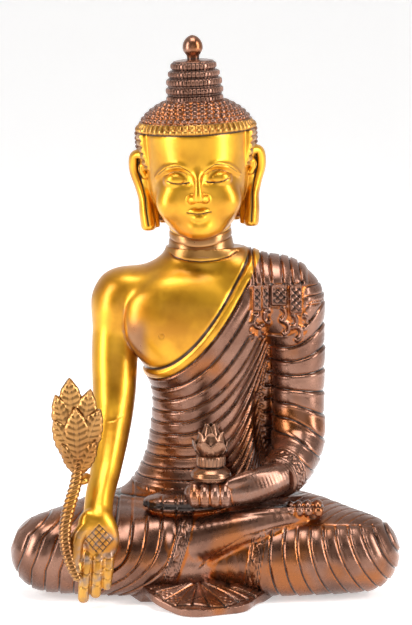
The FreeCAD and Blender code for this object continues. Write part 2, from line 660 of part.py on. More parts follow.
def head():
    neck = stack((
        (0.0, NECK_HALF_WIDTH, NECK_HALF_DEPTH, 0.0, 0.0),
        (NECK_HEIGHT * 0.5, NECK_HALF_WIDTH * 0.93, NECK_HALF_DEPTH * 0.93, 0.0, 0.0),
        (NECK_HEIGHT + 8.0, NECK_HALF_WIDTH * 0.93, NECK_HALF_DEPTH * 0.93, 0.0, 0.0),
    ), count=4)
    face = stack(skull_keys(FACE_OVALS))
    hair = stack(skull_keys(HAIR_OVALS))
    hairline = (0, -SKULL_HALF_DEPTH, NECK_HEIGHT + (HEAD_HEIGHT - NECK_HEIGHT) * HAIRLINE_SHARE)
    hair = hair.cut(half_space(hairline, (0, -0.62, -0.78)))
    cavity = stack(skull_keys(HAIR_OVALS[1:-1]), shrink=WALL)
    cavity = cavity.common(stack(skull_keys(FACE_OVALS), shrink=WALL))
    spigot = rod((0, 0, -NECK_SPIGOT_LENGTH), (0, 0, 1), NECK_SPIGOT_RADIUS, NECK_SPIGOT_LENGTH + 2.0)
    bore = rod((0, 0, -NECK_SPIGOT_LENGTH - 1.0), (0, 0, 1), NECK_SPIGOT_BORE, HEAD_HEIGHT / 2)
    crown_bore = rod((0, 0, HEAD_HEIGHT - KNOT_SPIGOT_LENGTH * 3.5), (0, 0, 1),
                     KNOT_SPIGOT_RADIUS + BRAZE_GAP, KNOT_SPIGOT_LENGTH * 4)
    shape = neck.fuse([face, hair, nose(), ear(1), ear(-1), spigot]).cut([cavity, bore, crown_bore])
    return head_frame(shape).cut(neck_pin(PLAY))


def knot():
    """Stepped hair knot: rings of curls, each ring a half round, on a hollow spigot."""
    ring = KNOT_HEIGHT / KNOT_RINGS
    widths = (0.94, 1.0, 1.0, 0.97, 0.88)
    edges = []
    last = at(KNOT_SPIGOT_RADIUS, 0, 0)
    foot_z = -KNOT_SPIGOT_LENGTH
    foot = [at(KNOT_BORE, 0, foot_z), at(KNOT_SPIGOT_RADIUS, 0, foot_z), last]
    for i in range(KNOT_RINGS):
        radius = KNOT_RADIUS * widths[i]
        low, high = at(radius - 1.2, 0, i * ring), at(radius - 1.2, 0, (i + 1) * ring)
        if (low - last).Length > 1e-6:
            edges.append(Part.makeLine(last, low))
        edges.append(Part.Arc(low, at(radius, 0, (i + 0.5) * ring), high).toShape())
        last = high
    roof = [last, at(0, 0, KNOT_HEIGHT), at(0, 0, KNOT_HEIGHT - FINIAL_TENON_LENGTH - WALL),
            at(KNOT_BORE, 0, KNOT_HEIGHT - FINIAL_TENON_LENGTH - WALL), foot[0]]
    edges += [Part.makeLine(p, q) for p, q in zip(roof, roof[1:])]
    edges += [Part.makeLine(p, q) for p, q in zip(foot, foot[1:])]
    shape = Part.Face(Part.Wire(Part.__sortEdges__(edges))).revolve(at(0, 0, 0), at(0, 0, 1), FULL_TURN)
    hole = rod((0, 0, KNOT_HEIGHT - FINIAL_TENON_LENGTH - 0.5), (0, 0, 1),
               FINIAL_TENON_RADIUS + BRAZE_GAP, FINIAL_TENON_LENGTH * 2)
    return head_frame(shape.cut(hole), HEAD_HEIGHT)


def finial():
    middle = FINIAL_HEIGHT - FINIAL_RADIUS - 0.4
    waist = math.sqrt(FINIAL_RADIUS ** 2 - FINIAL_STEM_RADIUS ** 2)
    profile = [
        Part.makeLine(at(0, 0, -FINIAL_TENON_LENGTH), at(FINIAL_TENON_RADIUS, 0, -FINIAL_TENON_LENGTH)),
        Part.makeLine(at(FINIAL_TENON_RADIUS, 0, -FINIAL_TENON_LENGTH), at(FINIAL_TENON_RADIUS, 0, 0)),
        Part.makeLine(at(FINIAL_TENON_RADIUS, 0, 0), at(FINIAL_STEM_RADIUS, 0, 0)),
        Part.makeLine(at(FINIAL_STEM_RADIUS, 0, 0), at(FINIAL_STEM_RADIUS, 0, middle - waist)),
        Part.Arc(at(FINIAL_STEM_RADIUS, 0, middle - waist), at(FINIAL_RADIUS, 0, middle),
                 at(0, 0, middle + FINIAL_RADIUS)).toShape(),
        Part.makeLine(at(0, 0, middle + FINIAL_RADIUS), at(0, 0, -FINIAL_TENON_LENGTH)),
    ]
    shape = Part.Face(Part.Wire(profile)).revolve(at(0, 0, 0), at(0, 0, 1), FULL_TURN)
    return head_frame(shape, HEAD_HEIGHT + KNOT_HEIGHT)


# ---- bowl, bud and sprig --------------------------------------------------------------------------
def medicine_bowl():
    shape = turned((
        (0, -BOWL_STUD_LENGTH),
        (BOWL_STUD_RADIUS, -BOWL_STUD_LENGTH),
        (BOWL_STUD_RADIUS, 0),
        (BOWL_RADIUS * 0.62, 0),
        (BOWL_RADIUS * 0.94, BOWL_HEIGHT * 0.18),
        (BOWL_RADIUS, BOWL_HEIGHT * 0.32),
        (BOWL_RADIUS * 0.94, BOWL_HEIGHT * 0.46),
        (BOWL_COLLAR_RADIUS, BOWL_HEIGHT * 0.62),
        (BOWL_COLLAR_RADIUS, BOWL_HEIGHT * 0.9),
        (BOWL_COLLAR_RADIUS * 0.85, BOWL_HEIGHT),
        (0, BOWL_HEIGHT),
    ))
    hole = rod((0, 0, BOWL_HEIGHT - BUD_STUD_LENGTH - 0.3), (0, 0, 1),
               BUD_STUD_RADIUS + BRAZE_GAP, BUD_STUD_LENGTH * 2)
    shape = shape.cut(hole)
    shape.translate(at(BOWL_X, BOWL_Y, PALM_Z))
    return shape


def bowl_bud():
    shape = turned((
        (0, -BUD_STUD_LENGTH),
        (BUD_STUD_RADIUS, -BUD_STUD_LENGTH),
        (BUD_STUD_RADIUS, 0),
        (BUD_RADIUS * 0.5, 0),
        (BUD_RADIUS * 0.86, BUD_HEIGHT * 0.22),
        (BUD_RADIUS, BUD_HEIGHT * 0.46),
        (BUD_RADIUS * 0.55, BUD_HEIGHT * 0.62),
        (BUD_RADIUS * 0.3, BUD_HEIGHT * 0.82),
        (0, BUD_HEIGHT),
    ))
    shape.translate(at(BOWL_X, BOWL_Y, PALM_Z + BOWL_HEIGHT))
    return shape


def leaf_base():
    return (HAND_X - 7.0, HAND_Y - 2.0, WRIST_HEIGHT + 16.6)


def sprig_stem():
    x, y, z = leaf_base()
    stem = limb((
        ((HAND_X - 8.6, HAND_Y - 5.6, WRIST_HEIGHT - 23.5), STEM_RADIUS * 0.7, STEM_RADIUS * 0.7),
        ((HAND_X - 11.2, HAND_Y - 6.6, WRIST_HEIGHT - 17.0), STEM_RADIUS, STEM_RADIUS),
        ((HAND_X - 12.6, HAND_Y - 7.0, WRIST_HEIGHT - 8.0), STEM_RADIUS, STEM_RADIUS),
        ((HAND_X - 11.2, HAND_Y - 6.4, WRIST_HEIGHT + 0.5), STEM_RADIUS, STEM_RADIUS),
        ((HAND_X - 8.2, HAND_Y - 4.6, WRIST_HEIGHT + 9.0), STEM_RADIUS * 0.9, STEM_RADIUS * 0.9),
        ((x, y, z), STEM_RADIUS * 0.8, STEM_RADIUS * 0.8),
        ((x + 0.2, y + 0.6, z + 1.5), STEM_RADIUS * 0.8, STEM_RADIUS * 0.8),
    ), 14)
    level = half_space((x, y, z), (0, 0, 1))
    spigot = rod((x, y, z - 2.0), (0, 0, 1), LEAF_SPIGOT_RADIUS, LEAF_SPIGOT_LENGTH + 2.0)
    return stem.cut(level).fuse(spigot)


# Share of the spray's height, half width and half depth as shares, then shifts aside and back.
LEAF_OVALS = (
    (0.00, 0.20, 1.1, 0.0, 0.0),
    (0.20, 0.62, 1.1, -0.4, 0.8),
    (0.45, 1.00, 1.0, -0.6, 1.6),
    (0.70, 0.86, 0.9, -1.6, 2.2),
    (0.90, 0.46, 0.7, -3.2, 2.6),
    (1.00, 0.14, 0.5, -3.6, 2.8),
)


def sprig_leaves():
    x, y, z = leaf_base()
    shape = loft([
        flat_oval(
            x + aside,
            y + back,
            z + share * LEAF_HEIGHT,
            LEAF_HALF_WIDTH * wide,
            LEAF_HALF_DEPTH * deep,
        )
        for share, wide, deep, aside, back in evenly(LEAF_OVALS, 9)
    ])
    hole = rod((x, y, z - 1.0), (0, 0, 1), LEAF_SPIGOT_RADIUS + BRAZE_GAP, LEAF_SPIGOT_LENGTH + 1.2)
    return shape.cut(hole)


# ---- build -----------------------------------------------------------------------------------------
os.makedirs("parts", exist_ok=True)

outside = below_waist_outside()
casting = lower_body(outside)
hand_left = left_hand()
hand_right = right_hand()
arm_left = left_arm()
arm_right = right_arm()
chest = torso()

# Brazed faces are filed to fit what they lie on.
hand_left = hand_left.cut(casting)
hand_right = hand_right.cut(casting)
arm_left = arm_left.cut([casting, hand_left, chest])
arm_right = arm_right.cut([casting, chest])
stem = sprig_stem().cut([hand_right, arm_right])
leaves = sprig_leaves().cut(arm_right)
bowl = medicine_bowl().cut(hand_left)
# Pins are filed flush with the metal round them.
metal = outside.fuse(torso_form())
waist_pins = Part.makeCompound([waist_pin(side).common(metal) for side in (1, -1)])
back_of_neck = neck_pin().common(torso_form())
cotters = Part.makeCompound([arm_cotter(1), arm_cotter(-1)])

save(casting, "lower_body")
save(base_plate(), "base_plate")
save(base_screws(), "base_screws")
save(chest, "torso")
save(waist_pins, "waist_pins")
save(arm_right, "right_arm")
save(arm_left, "left_arm")
save(cotters, "arm_cotters")
save(hand_right, "right_hand")
save(hand_left, "left_hand")
save(head(), "head")
save(back_of_neck, "neck_pin")
save(knot(), "hair_knot")
save(finial(), "finial")
save(bowl, "medicine_bowl")
save(bowl_bud(), "bowl_bud")
save(stem, "sprig_stem")
save(leaves, "sprig_leaves")
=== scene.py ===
import math

import bpy
import numpy as np
import openvdb
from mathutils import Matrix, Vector


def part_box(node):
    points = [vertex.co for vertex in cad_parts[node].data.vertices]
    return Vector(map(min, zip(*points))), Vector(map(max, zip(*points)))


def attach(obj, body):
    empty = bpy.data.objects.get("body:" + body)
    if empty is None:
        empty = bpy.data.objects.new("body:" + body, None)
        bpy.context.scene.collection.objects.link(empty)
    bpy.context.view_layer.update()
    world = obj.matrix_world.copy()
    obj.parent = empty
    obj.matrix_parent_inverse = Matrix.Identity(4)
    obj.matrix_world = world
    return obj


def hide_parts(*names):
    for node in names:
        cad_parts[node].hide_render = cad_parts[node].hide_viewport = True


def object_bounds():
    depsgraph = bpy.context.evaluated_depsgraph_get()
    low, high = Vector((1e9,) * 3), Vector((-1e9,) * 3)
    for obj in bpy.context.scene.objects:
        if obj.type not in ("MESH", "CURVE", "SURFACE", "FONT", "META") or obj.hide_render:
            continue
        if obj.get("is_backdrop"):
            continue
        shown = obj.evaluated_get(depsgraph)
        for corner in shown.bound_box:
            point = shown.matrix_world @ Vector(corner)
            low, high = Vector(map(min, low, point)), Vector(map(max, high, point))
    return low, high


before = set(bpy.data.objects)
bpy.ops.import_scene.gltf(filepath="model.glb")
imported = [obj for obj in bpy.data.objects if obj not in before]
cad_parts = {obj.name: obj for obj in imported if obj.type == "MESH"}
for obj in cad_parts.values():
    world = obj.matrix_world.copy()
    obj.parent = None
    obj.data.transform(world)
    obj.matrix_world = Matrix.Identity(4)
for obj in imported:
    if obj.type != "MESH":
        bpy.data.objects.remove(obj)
cad_low, cad_high = (list(corner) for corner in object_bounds())

# ---- Room ------------------------------------------------------------------------------------
# The figure stands on white paper in soft studio light: a tall light on each side, one overhead
# and a weak broad one in front. The polished brass also reflects the room.
MM = 0.001
figure_height = cad_high[2] - cad_low[2]
look_at = Vector((0, 0, figure_height * 0.507))
view_height = math.radians(9.0)
view_distance = 1.15
pictured_height = figure_height * 1.127
film_height = 36
camera_data = bpy.data.cameras.new("camera")
camera_data.sensor_fit = "VERTICAL"
camera_data.sensor_height = film_height
camera_data.shift_x = 0.001
camera = bpy.data.objects.new("camera", camera_data)
camera.location = look_at + Vector((0, -math.cos(view_height), math.sin(view_height))) * view_distance
camera.rotation_euler = (look_at - camera.location).to_track_quat("-Z", "Y").to_euler()
camera_data.lens = film_height * view_distance / pictured_height
bpy.context.scene.collection.objects.link(camera)
bpy.context.scene.camera = camera

bpy.context.scene.view_settings.view_transform = "Standard"


def fill(node, **values):
    """Sets a material node's inputs by name, with _ for each space."""
    for name, value in values.items():
        node.inputs[name.replace("_", " ")].default_value = value


# The room is dim brown in front of the figure and lighter behind it.
world = bpy.data.worlds.new("room")
bpy.context.scene.world = world
world.use_nodes = True
nodes, links = world.node_tree.nodes, world.node_tree.links
room_light = nodes["Background"]
direction = nodes.new("ShaderNodeTexCoord")
split = nodes.new("ShaderNodeSeparateXYZ")
links.new(direction.outputs["Generated"], split.inputs[0])
ramp = nodes.new("ShaderNodeValToRGB")
ramp.color_ramp.elements[0].position = 0.30
ramp.color_ramp.elements[0].color = (0.045, 0.028, 0.020, 1)
ramp.color_ramp.elements[1].position = 0.80
ramp.color_ramp.elements[1].color = (1, 1, 1, 1)
turn = nodes.new("ShaderNodeMapRange")
links.new(split.outputs["Y"], turn.inputs["Value"])
fill(turn, From_Min=-1, From_Max=1)
links.new(turn.outputs["Result"], ramp.inputs["Fac"])
links.new(ramp.outputs["Color"], room_light.inputs["Color"])
fill(room_light, Strength=0.75)


def studio_light(name, place, size, power):
    """A flat light of a width and height, facing the figure."""
    data = bpy.data.lights.new(name, "AREA")
    data.shape = "RECTANGLE"
    data.size, data.size_y = size
    data.energy = power
    light = bpy.data.objects.new(name, data)
    light.location = place
    light.rotation_euler = (look_at - Vector(place)).to_track_quat("-Z", "Y").to_euler()
    bpy.context.scene.collection.objects.link(light)


studio_light("left_light", (-0.80, -0.38, 0.35), (0.30, 0.8), 7.0)
studio_light("right_light", (0.78, -0.34, 0.42), (0.26, 0.8), 7.5)
studio_light("top_light", (0.0, -0.20, 1.00), (0.6, 0.4), 6)
studio_light("front_light", (0.10, -1.60, 0.45), (1.6, 0.9), 3.0)

# A white paper sweep: the floor runs back and curves up into the backdrop.
sweep_points, sweep_faces = [], []
sweep_half_width = 4.0
sweep_back = 1.2
sweep_radius = 0.8
sweep_top = 4.0
bend_steps = 12
outline = [(-sweep_half_width, 0.0), (sweep_back, 0.0)]
for k in range(1, bend_steps + 1):
    bend = math.pi / 2 * k / bend_steps
    outline.append((sweep_back + sweep_radius * math.sin(bend), sweep_radius * (1 - math.cos(bend))))
outline.append((sweep_back + sweep_radius, sweep_top))
for back, up in outline:
    sweep_points += [(-sweep_half_width, back, up), (sweep_half_width, back, up)]
for k in range(len(outline) - 1):
    sweep_faces.append((2 * k, 2 * k + 1, 2 * k + 3, 2 * k + 2))
sweep_mesh = bpy.data.meshes.new("paper_sweep")
sweep_mesh.from_pydata(sweep_points, [], sweep_faces)
sweep_mesh.shade_smooth()
sweep = bpy.data.objects.new("paper_sweep", sweep_mesh)
bpy.context.scene.collection.objects.link(sweep)
paper = bpy.data.materials.new("paper")
paper.use_nodes = True
paper_shader = paper.node_tree.nodes["Principled BSDF"]
fill(paper_shader, Base_Color=(0.95, 0.95, 0.95, 1), Roughness=0.95,
     Emission_Color=(1, 1, 1, 1), Emission_Strength=0.45)
sweep_mesh.materials.append(paper)
sweep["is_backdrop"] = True

# ---- Lower casting: folded legs, lap and feet ---------------------------------------------------
# One hollow brass casting, lacquered copper brown. Both legs are folded, the right foot on the
# left thigh and the left foot in the lap. The pleats are cast, then cut sharper with a chisel.
def box_of(node):
    """Low and high corners, middle and half sizes of a node's box, in millimetres."""
    low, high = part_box(node)
    middle = [(a + b) / 2 / MM for a, b in zip(low, high)]
    half = [(b - a) / 2 / MM for a, b in zip(low, high)]
    return [a / MM for a in low], [b / MM for b in high], middle, half


body_low, body_high, _, (knee, _, _) = box_of("lower_body")
torso_low, torso_high, (spine_x, spine_y, _), (seat, _, _) = box_of("torso")
shin_y = -30.0
hips_back = body_high[1]
waist_spigot = 6.0
lap_z = torso_low[2] + waist_spigot
BODY_STEP = 0.42
CUT_DEPTH = 0.42


def clay_block(low, high, step):
    """Open grid of points, in millimetres, that a form is modelled on."""
    axes = [np.arange(a, b + step, step, dtype=np.float32) for a, b in zip(low, high)]
    return np.ix_(*axes)


def ball(p, centre, half_sizes):
    offset = [(p[i] - centre[i]) / half_sizes[i] for i in range(3)]
    near = np.sqrt(offset[0] ** 2 + offset[1] ** 2 + offset[2] ** 2) + 1e-6
    steep = np.sqrt(sum((offset[i] / half_sizes[i]) ** 2 for i in range(3))) + 1e-6
    return near * (near - 1) / steep


def through(path, count):
    """Points along a smooth curve through a few given ones, with every value eased."""
    path = np.array(path, float)
    ends = np.vstack([2 * path[0] - path[1], path, 2 * path[-1] - path[-2]])
    made = []
    for s in np.linspace(0, len(path) - 1 - 1e-9, count):
        i = int(s)
        t = s - i
        a, b, c, d = ends[i:i + 4]
        made.append(0.5 * (2 * b + (c - a) * t + (2 * a - 5 * b + 4 * c - d) * t ** 2
                           + (3 * b - a - 3 * c + d) * t ** 3))
    return np.array(made)


def limb(p, path, count=9, flat=(1, 1, 1)):
    """Round bar along a path of (x, y, z, radius). Flat squeezes its section along an axis."""
    beads = through(path, count)
    shape = None
    for a, b in zip(beads, beads[1:]):
        along = (b - a)[:3]
        length2 = float(along @ along) + 1e-9
        t = sum((p[i] - a[i]) * along[i] for i in range(3)) / length2
        t = np.clip(t, 0, 1)
        gap = np.sqrt(sum(((p[i] - a[i] - t * along[i]) * flat[i]) ** 2 for i in range(3)))
        part = gap - (a[3] + (b[3] - a[3]) * t)
        shape = part if shape is None else np.minimum(shape, part)
    return shape


def stacked(p, keys):
    """Level ovals over one another. A key is (height, half width, half depth, x, y)."""
    keys = np.array(keys, float)
    even = through(keys, 6 * len(keys))
    heights = np.maximum.accumulate(even[:, 0])
    wide, deep, x, y = (np.interp(p[2], heights, even[:, i]).astype(np.float32) for i in (1, 2, 3, 4))
    ring = np.sqrt(((p[0] - x) / wide) ** 2 + ((p[1] - y) / deep) ** 2)
    return (ring - 1) * np.minimum(wide, deep)


def blend(a, b, soft):
    """Two forms run together, the hollow between them filled by a soft amount."""
    mix = np.clip(0.5 + 0.5 * (b - a) / soft, 0, 1)
    return b * (1 - mix) + a * mix - soft * mix * (1 - mix)


def carve(a, b, soft=0.3):
    return -blend(-a, b, soft)


def ease(value, start, end):
    t = np.clip((value - start) / (end - start), 0, 1)
    return t * t * (3 - 2 * t)


def skin(shape, p, step):
    """The surface of a form, as points and four-sided faces that look outwards."""
    grid = openvdb.FloatGrid(5.0)
    grid.copyFromArray(np.array(np.broadcast_to(shape, [a.size for a in p]), dtype=np.float32))
    points, quads = grid.convertToQuads()
    points = points * step + np.array([a.min() for a in p])
    a, b, c = (points[quads[:, i]] for i in (0, 1, 2))
    if np.einsum("ij,ij->i", a, np.cross(b, c)).sum() < 0:
        quads = quads[:, ::-1]
    return points.astype(float), quads.astype(np.int64)


def normals_of(points, quads):
    cross = np.cross(points[quads[:, 2]] - points[quads[:, 0]], points[quads[:, 3]] - points[quads[:, 1]])
    corners = quads.ravel()
    made = np.stack([np.bincount(corners, np.repeat(cross[:, i], 4), len(points)) for i in range(3)], 1)
    return made / (np.linalg.norm(made, axis=1, keepdims=True) + 1e-12)


def surface(form, p, step):
    """A form's surface: points, faces, the way each point looks, and the points' x, y and z."""
    points, quads = skin(form, p, step)
    return points, quads, normals_of(points, quads), points.T


def relaxed(points, quads, rounds):
    """Each point moved to the middle of its neighbours, a few times over."""
    corners = quads.ravel()
    following = np.roll(quads, -1, 1).ravel()
    count = np.bincount(corners, minlength=len(points)) + np.bincount(following, minlength=len(points))
    for _ in range(rounds):
        total = [np.bincount(corners, points[following, i], len(points))
                 + np.bincount(following, points[corners, i], len(points)) for i in range(3)]
        points = np.stack(total, 1) / count[:, None]
    return points


def hollowness(points, quads, rounds=5):
    """How far each point lies in a hollow (above 0) or on a ridge (below 0), in millimetres."""
    inward = relaxed(points, quads, rounds) - points
    return np.einsum("ij,ij->i", inward, normals_of(points, quads))


def cast(name, points, faces, node, cut, gold=0, hollow=0, dust=0):
    """Makes the piece, in metres, and ties it to the frame, with its marks for the lacquer."""
    mesh = bpy.data.meshes.new(name)
    mesh.vertices.add(len(points))
    mesh.vertices.foreach_set("co", (np.asarray(points) * MM).astype(np.float32).ravel())
    faces = np.asarray(faces)
    mesh.loops.add(faces.size)
    mesh.loops.foreach_set("vertex_index", faces.ravel().astype(np.int32))
    mesh.polygons.add(len(faces))
    mesh.polygons.foreach_set("loop_start", np.arange(0, faces.size, faces.shape[1], dtype=np.int32))
    mesh.update(calc_edges=True)
    mesh.validate()
    mesh.shade_smooth()
    for mark, values in (("cut", cut), ("hollow", hollow), ("dust", dust), ("gold", gold)):
        values = np.broadcast_to(np.ravel(values), len(points))
        mesh.attributes.new(mark, "FLOAT", "POINT").data.foreach_set("value", np.array(values, np.float32))
    mesh.materials.append(robe_finish)
    piece = bpy.data.objects.new(name, mesh)
    bpy.context.scene.collection.objects.link(piece)
    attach(piece, "root")
    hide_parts(node)
    return piece


def stroke(distance, width):
    """1 on a cut line, fading to 0 beside it."""
    return np.exp(-(distance / width) ** 2)


def scallop(phase, power=3):
    """A row of rounded bumps from 0 to 1, one to each whole step of the phase."""
    return 1 - np.abs(2 * (phase - np.floor(phase)) - 1) ** power


def pleat(phase, groove=0.075):
    """Height of a low pillow with a bright lip beside the cut line at its foot, and the cut itself."""
    u = phase - np.floor(phase)
    back = 1 - np.abs(2 * u ** 0.8 - 1) ** 2.2
    lip = stroke(u - 2.1 * groove, groove)
    cut = stroke(np.minimum(u, 1 - u), groove)
    return 0.34 * back + 0.24 * lip, cut


# Lacquered brass: copper brown on the robe and hair, gold where it is left polished, redder in
# the folds and black in the cuts, with grey dust of polish caught in the hollows. In its hollows
# the gold is browned: partly the antique lacquer, partly painted shade.
def lacquered_brass(name):
    material = bpy.data.materials.new(name)
    material.use_nodes = True
    nodes, links = material.node_tree.nodes, material.node_tree.links
    shader = nodes["Principled BSDF"]

    def mark(attribute):
        node = nodes.new("ShaderNodeAttribute")
        node.attribute_name = attribute
        return node.outputs["Fac"]

    def mixed(factor, low, high):
        node = nodes.new("ShaderNodeMix")
        node.data_type = "RGBA"
        links.new(factor, node.inputs["Factor"])
        for value, socket in ((low, node.inputs[6]), (high, node.inputs[7])):
            if isinstance(value, tuple):
                socket.default_value = (*value, 1)
            else:
                links.new(value, socket)
        return node.outputs[2]

    def spread(value, low, high):
        node = nodes.new("ShaderNodeMapRange")
        node.interpolation_type = "SMOOTHSTEP"
        links.new(value, node.inputs["Value"])
        fill(node, From_Min=low, From_Max=high)
        return node.outputs["Result"]

    def cloud(size, detail=4):
        node = nodes.new("ShaderNodeTexNoise")
        fill(node, Scale=size, Detail=detail)
        place = nodes.new("ShaderNodeTexCoord")
        links.new(place.outputs["Object"], node.inputs["Vector"])
        return node.outputs["Fac"]

    gold = mark("gold")
    hollow = mark("hollow")
    cut = mark("cut")
    patches = spread(cloud(60), 0.35, 0.7)
    dust = mark("dust")
    copper = mixed(patches, (0.250, 0.122, 0.080), (0.135, 0.056, 0.032))
    copper = mixed(spread(cloud(42, 2), 0.52, 0.68), copper, (0.27, 0.085, 0.020))
    copper = mixed(spread(hollow, 0.0, 0.09), copper, (0.34, 0.090, 0.010))
    copper = mixed(spread(cut, 0.25, 0.85), copper, (0.030, 0.018, 0.014))
    bright = mixed(patches, (0.76, 0.38, 0.022), (0.46, 0.185, 0.007))
    # Painted shade: the polished gold turns brown in the hollows, such as between the arm and the chest
    # (partly the antique brown lacquer).
    bright = mixed(spread(hollow, 0.05, 0.30), bright, (0.34, 0.13, 0.015))
    bright = mixed(spread(cut, 0.25, 0.85), bright, (0.045, 0.022, 0.010))
    grime = nodes.new("ShaderNodeMath")
    grime.operation = "MULTIPLY"
    links.new(spread(dust, 0.08, 0.9), grime.inputs[0])
    links.new(spread(cloud(320, 6), 0.42, 0.75), grime.inputs[1])
    links.new(mixed(grime.outputs[0], mixed(gold, copper, bright), (0.21, 0.15, 0.125)),
              shader.inputs["Base Color"])
    metal = nodes.new("ShaderNodeMapRange")
    links.new(grime.outputs[0], metal.inputs["Value"])
    fill(metal, To_Min=0.92, To_Max=0.35)
    links.new(metal.outputs["Result"], shader.inputs["Metallic"])
    fill(shader, Coat_Weight=0.35, Coat_Roughness=0.22)
    rough = nodes.new("ShaderNodeMapRange")
    links.new(cloud(400, 6), rough.inputs["Value"])
    fill(rough, To_Min=0.20, To_Max=0.36)
    satin = nodes.new("ShaderNodeMath")
    satin.operation = "MULTIPLY_ADD"
    links.new(gold, satin.inputs[0])
    satin.inputs[1].default_value = 0.09
    links.new(rough.outputs["Result"], satin.inputs[2])
    links.new(satin.outputs[0], shader.inputs["Roughness"])
    return material


robe_finish = lacquered_brass("robe_finish")

p = clay_block((-knee - 3, shin_y - 5, -1.2), (knee + 3, hips_back + 4, lap_z + 3), BODY_STEP)
KNEE_BALL = 12.6
legs = None
for side in (-1, 1):
    tip = side * (knee - KNEE_BALL)
    thigh = limb(p, [(side * 15, 16, 18, 18), (side * 30, 6, 17.6, 17.6), (side * 44, -2, 16.9, 16.2),
                     (tip, -11, 15.8, KNEE_BALL)], 15)
    crossing = -7 if side < 0 else 8
    shin = limb(p, [(tip, -11.5, 15.6, KNEE_BALL + 0.3), (side * 42, -14.2, 15.2, 14.2),
                    (side * 25, -15.6, 14.6, 13.8),
                    (crossing, -15.6 - 1.4 * (side < 0), 13.2, 12.4 - 1.6 * (side > 0))], 13)
    leg = blend(thigh, shin, 7)
    legs = leg if legs is None else blend(legs, leg, 2.5)
hips = stacked(p, [(-4, 35, 26, spine_x, 18.5), (12, 36.5, 28.3, spine_x, 17.7),
                   (24, 33.5, 25.5, spine_x, 16.5), (32, 28, 21.6, spine_x, 14),
                   (38, 25.5, 19.5, spine_x, spine_y),
                   (44, 25.5, 19.5, spine_x, spine_y)])
hips = np.maximum(hips, p[2] - lap_z)
lower = blend(legs, hips, 6)
lap = ball(p, (spine_x, -3, 25), (42, 22, 10))
lower = blend(lower, lap, 5)
right_foot = limb(p, [(-7, -19.5, 20.5, 10.0), (4, -21.5, 24.5, 8.0), (14, -21.8, 27.2, 6.6),
                      (24, -19.5, 29.2, 5.6), (35, -15.5, 30.5, 4.6)], 21)
lower = blend(lower, right_foot, 1.4)
for i, x in enumerate((31.2, 34.2, 37.4, 41.0)):
    toe = 1.45 + 0.22 * i
    lower = blend(lower, limb(p, [(x - 1, -12, 33.2, toe), (x - 0.2, -17.5, 34.6, toe),
                                  (x, -20.4, 32.6, toe - 0.1)], 9), 0.4)
left_foot = ball(p, (-7.0, -14.0, 35.0), (16.0, 9.2, 4.2))
lower = blend(lower, left_foot, 0.8)
_, plate_high, plate_middle, plate_half = box_of("base_plate")
plate_play = 0.2
plate = np.sqrt(sum(((p[i] - plate_middle[i]) / (plate_half[i] + plate_play)) ** 2 for i in (0, 1)))
lower = np.maximum(lower, -p[2])
recess = np.maximum((plate - 1) * 15, p[2] - plate_high[2])
lower = np.maximum(lower, -recess)

points, quads, normals, (x, y, z) = surface(lower, p, BODY_STEP)

# Pleats of the right leg lean out towards the knee; those of the left leg bulge like brackets.
right_top, left_top = 32, 31
right_spacing, left_spacing, back_spacing, hip_spacing = 5.3, 4.3, 5.4, 4.1
drop = np.clip((right_top - z) / right_top, 0, 1)
towards_knee = ease(-x, 28, 48)
knee_lean = np.interp(z, [0, 12, 24, 34], [16.5, 15.5, 11, 0])
right_fan = (x + 25 * drop ** 3 * (1 - towards_knee) + knee_lean * towards_knee) / right_spacing
sink = np.clip((left_top - z) / left_top, 0, 1)
left_fan = ((x + 14 * sink * (1 - sink) + 10.45 * sink) / (1 + 0.5 * sink) - 25.5) / left_spacing
from_spine = np.abs(x - spine_x)
back_fan = (z + 0.35 * from_spine * ease(from_spine, 12, 40)) / back_spacing
hip_rounds = (lap_z + 42 - z) / hip_spacing
front_share = ease(y, 14, 8)
hip_share = ease(z, lap_z - 5.5, lap_z - 4.5)
right_height, right_cut = pleat(right_fan)
left_height, left_cut = pleat(left_fan)
back_height, back_cut = pleat(back_fan)
hip_height, hip_cut = pleat(hip_rounds)

# Each trouser end is a narrow upright band with a border line on both sides and a row of scrolls.
right_band = x + 6.6 + 5.2 * np.clip((33 - z) / 20, 0, 1.3) ** 1.25
left_band = x - 19.2 + 2.4 * np.clip((25 - z) / 16, 0, 1.2)
front = ease(-normals[:, 1], 0.05, 0.35) * ease(y, 0, -6)
on_right_band = ease(np.abs(right_band), 2.7, 2.3) * front * ease(z, 8, 10)
on_left_band = ease(np.abs(left_band), 2.7, 2.3) * front * ease(z, 5, 7) * ease(z, 26.5, 25.0)


def border(across, along):
    """Raised border with two lines each side and small scrolls between, and its cut lines."""
    lines = sum(stroke(np.abs(across) - line, 0.20) for line in (1.55, 2.35))
    scroll_pitch = 3.0
    turn = along / scroll_pitch * np.pi
    scroll = stroke(across - 0.7 * np.sin(turn), 0.26) + 0.7 * stroke(np.cos(turn), 0.22)
    scroll = 0.8 * scroll * ease(np.abs(across), 1.2, 1.0)
    return 0.6 * ease(np.abs(across), 2.8, 2.5), np.clip(lines + scroll, 0, 1)


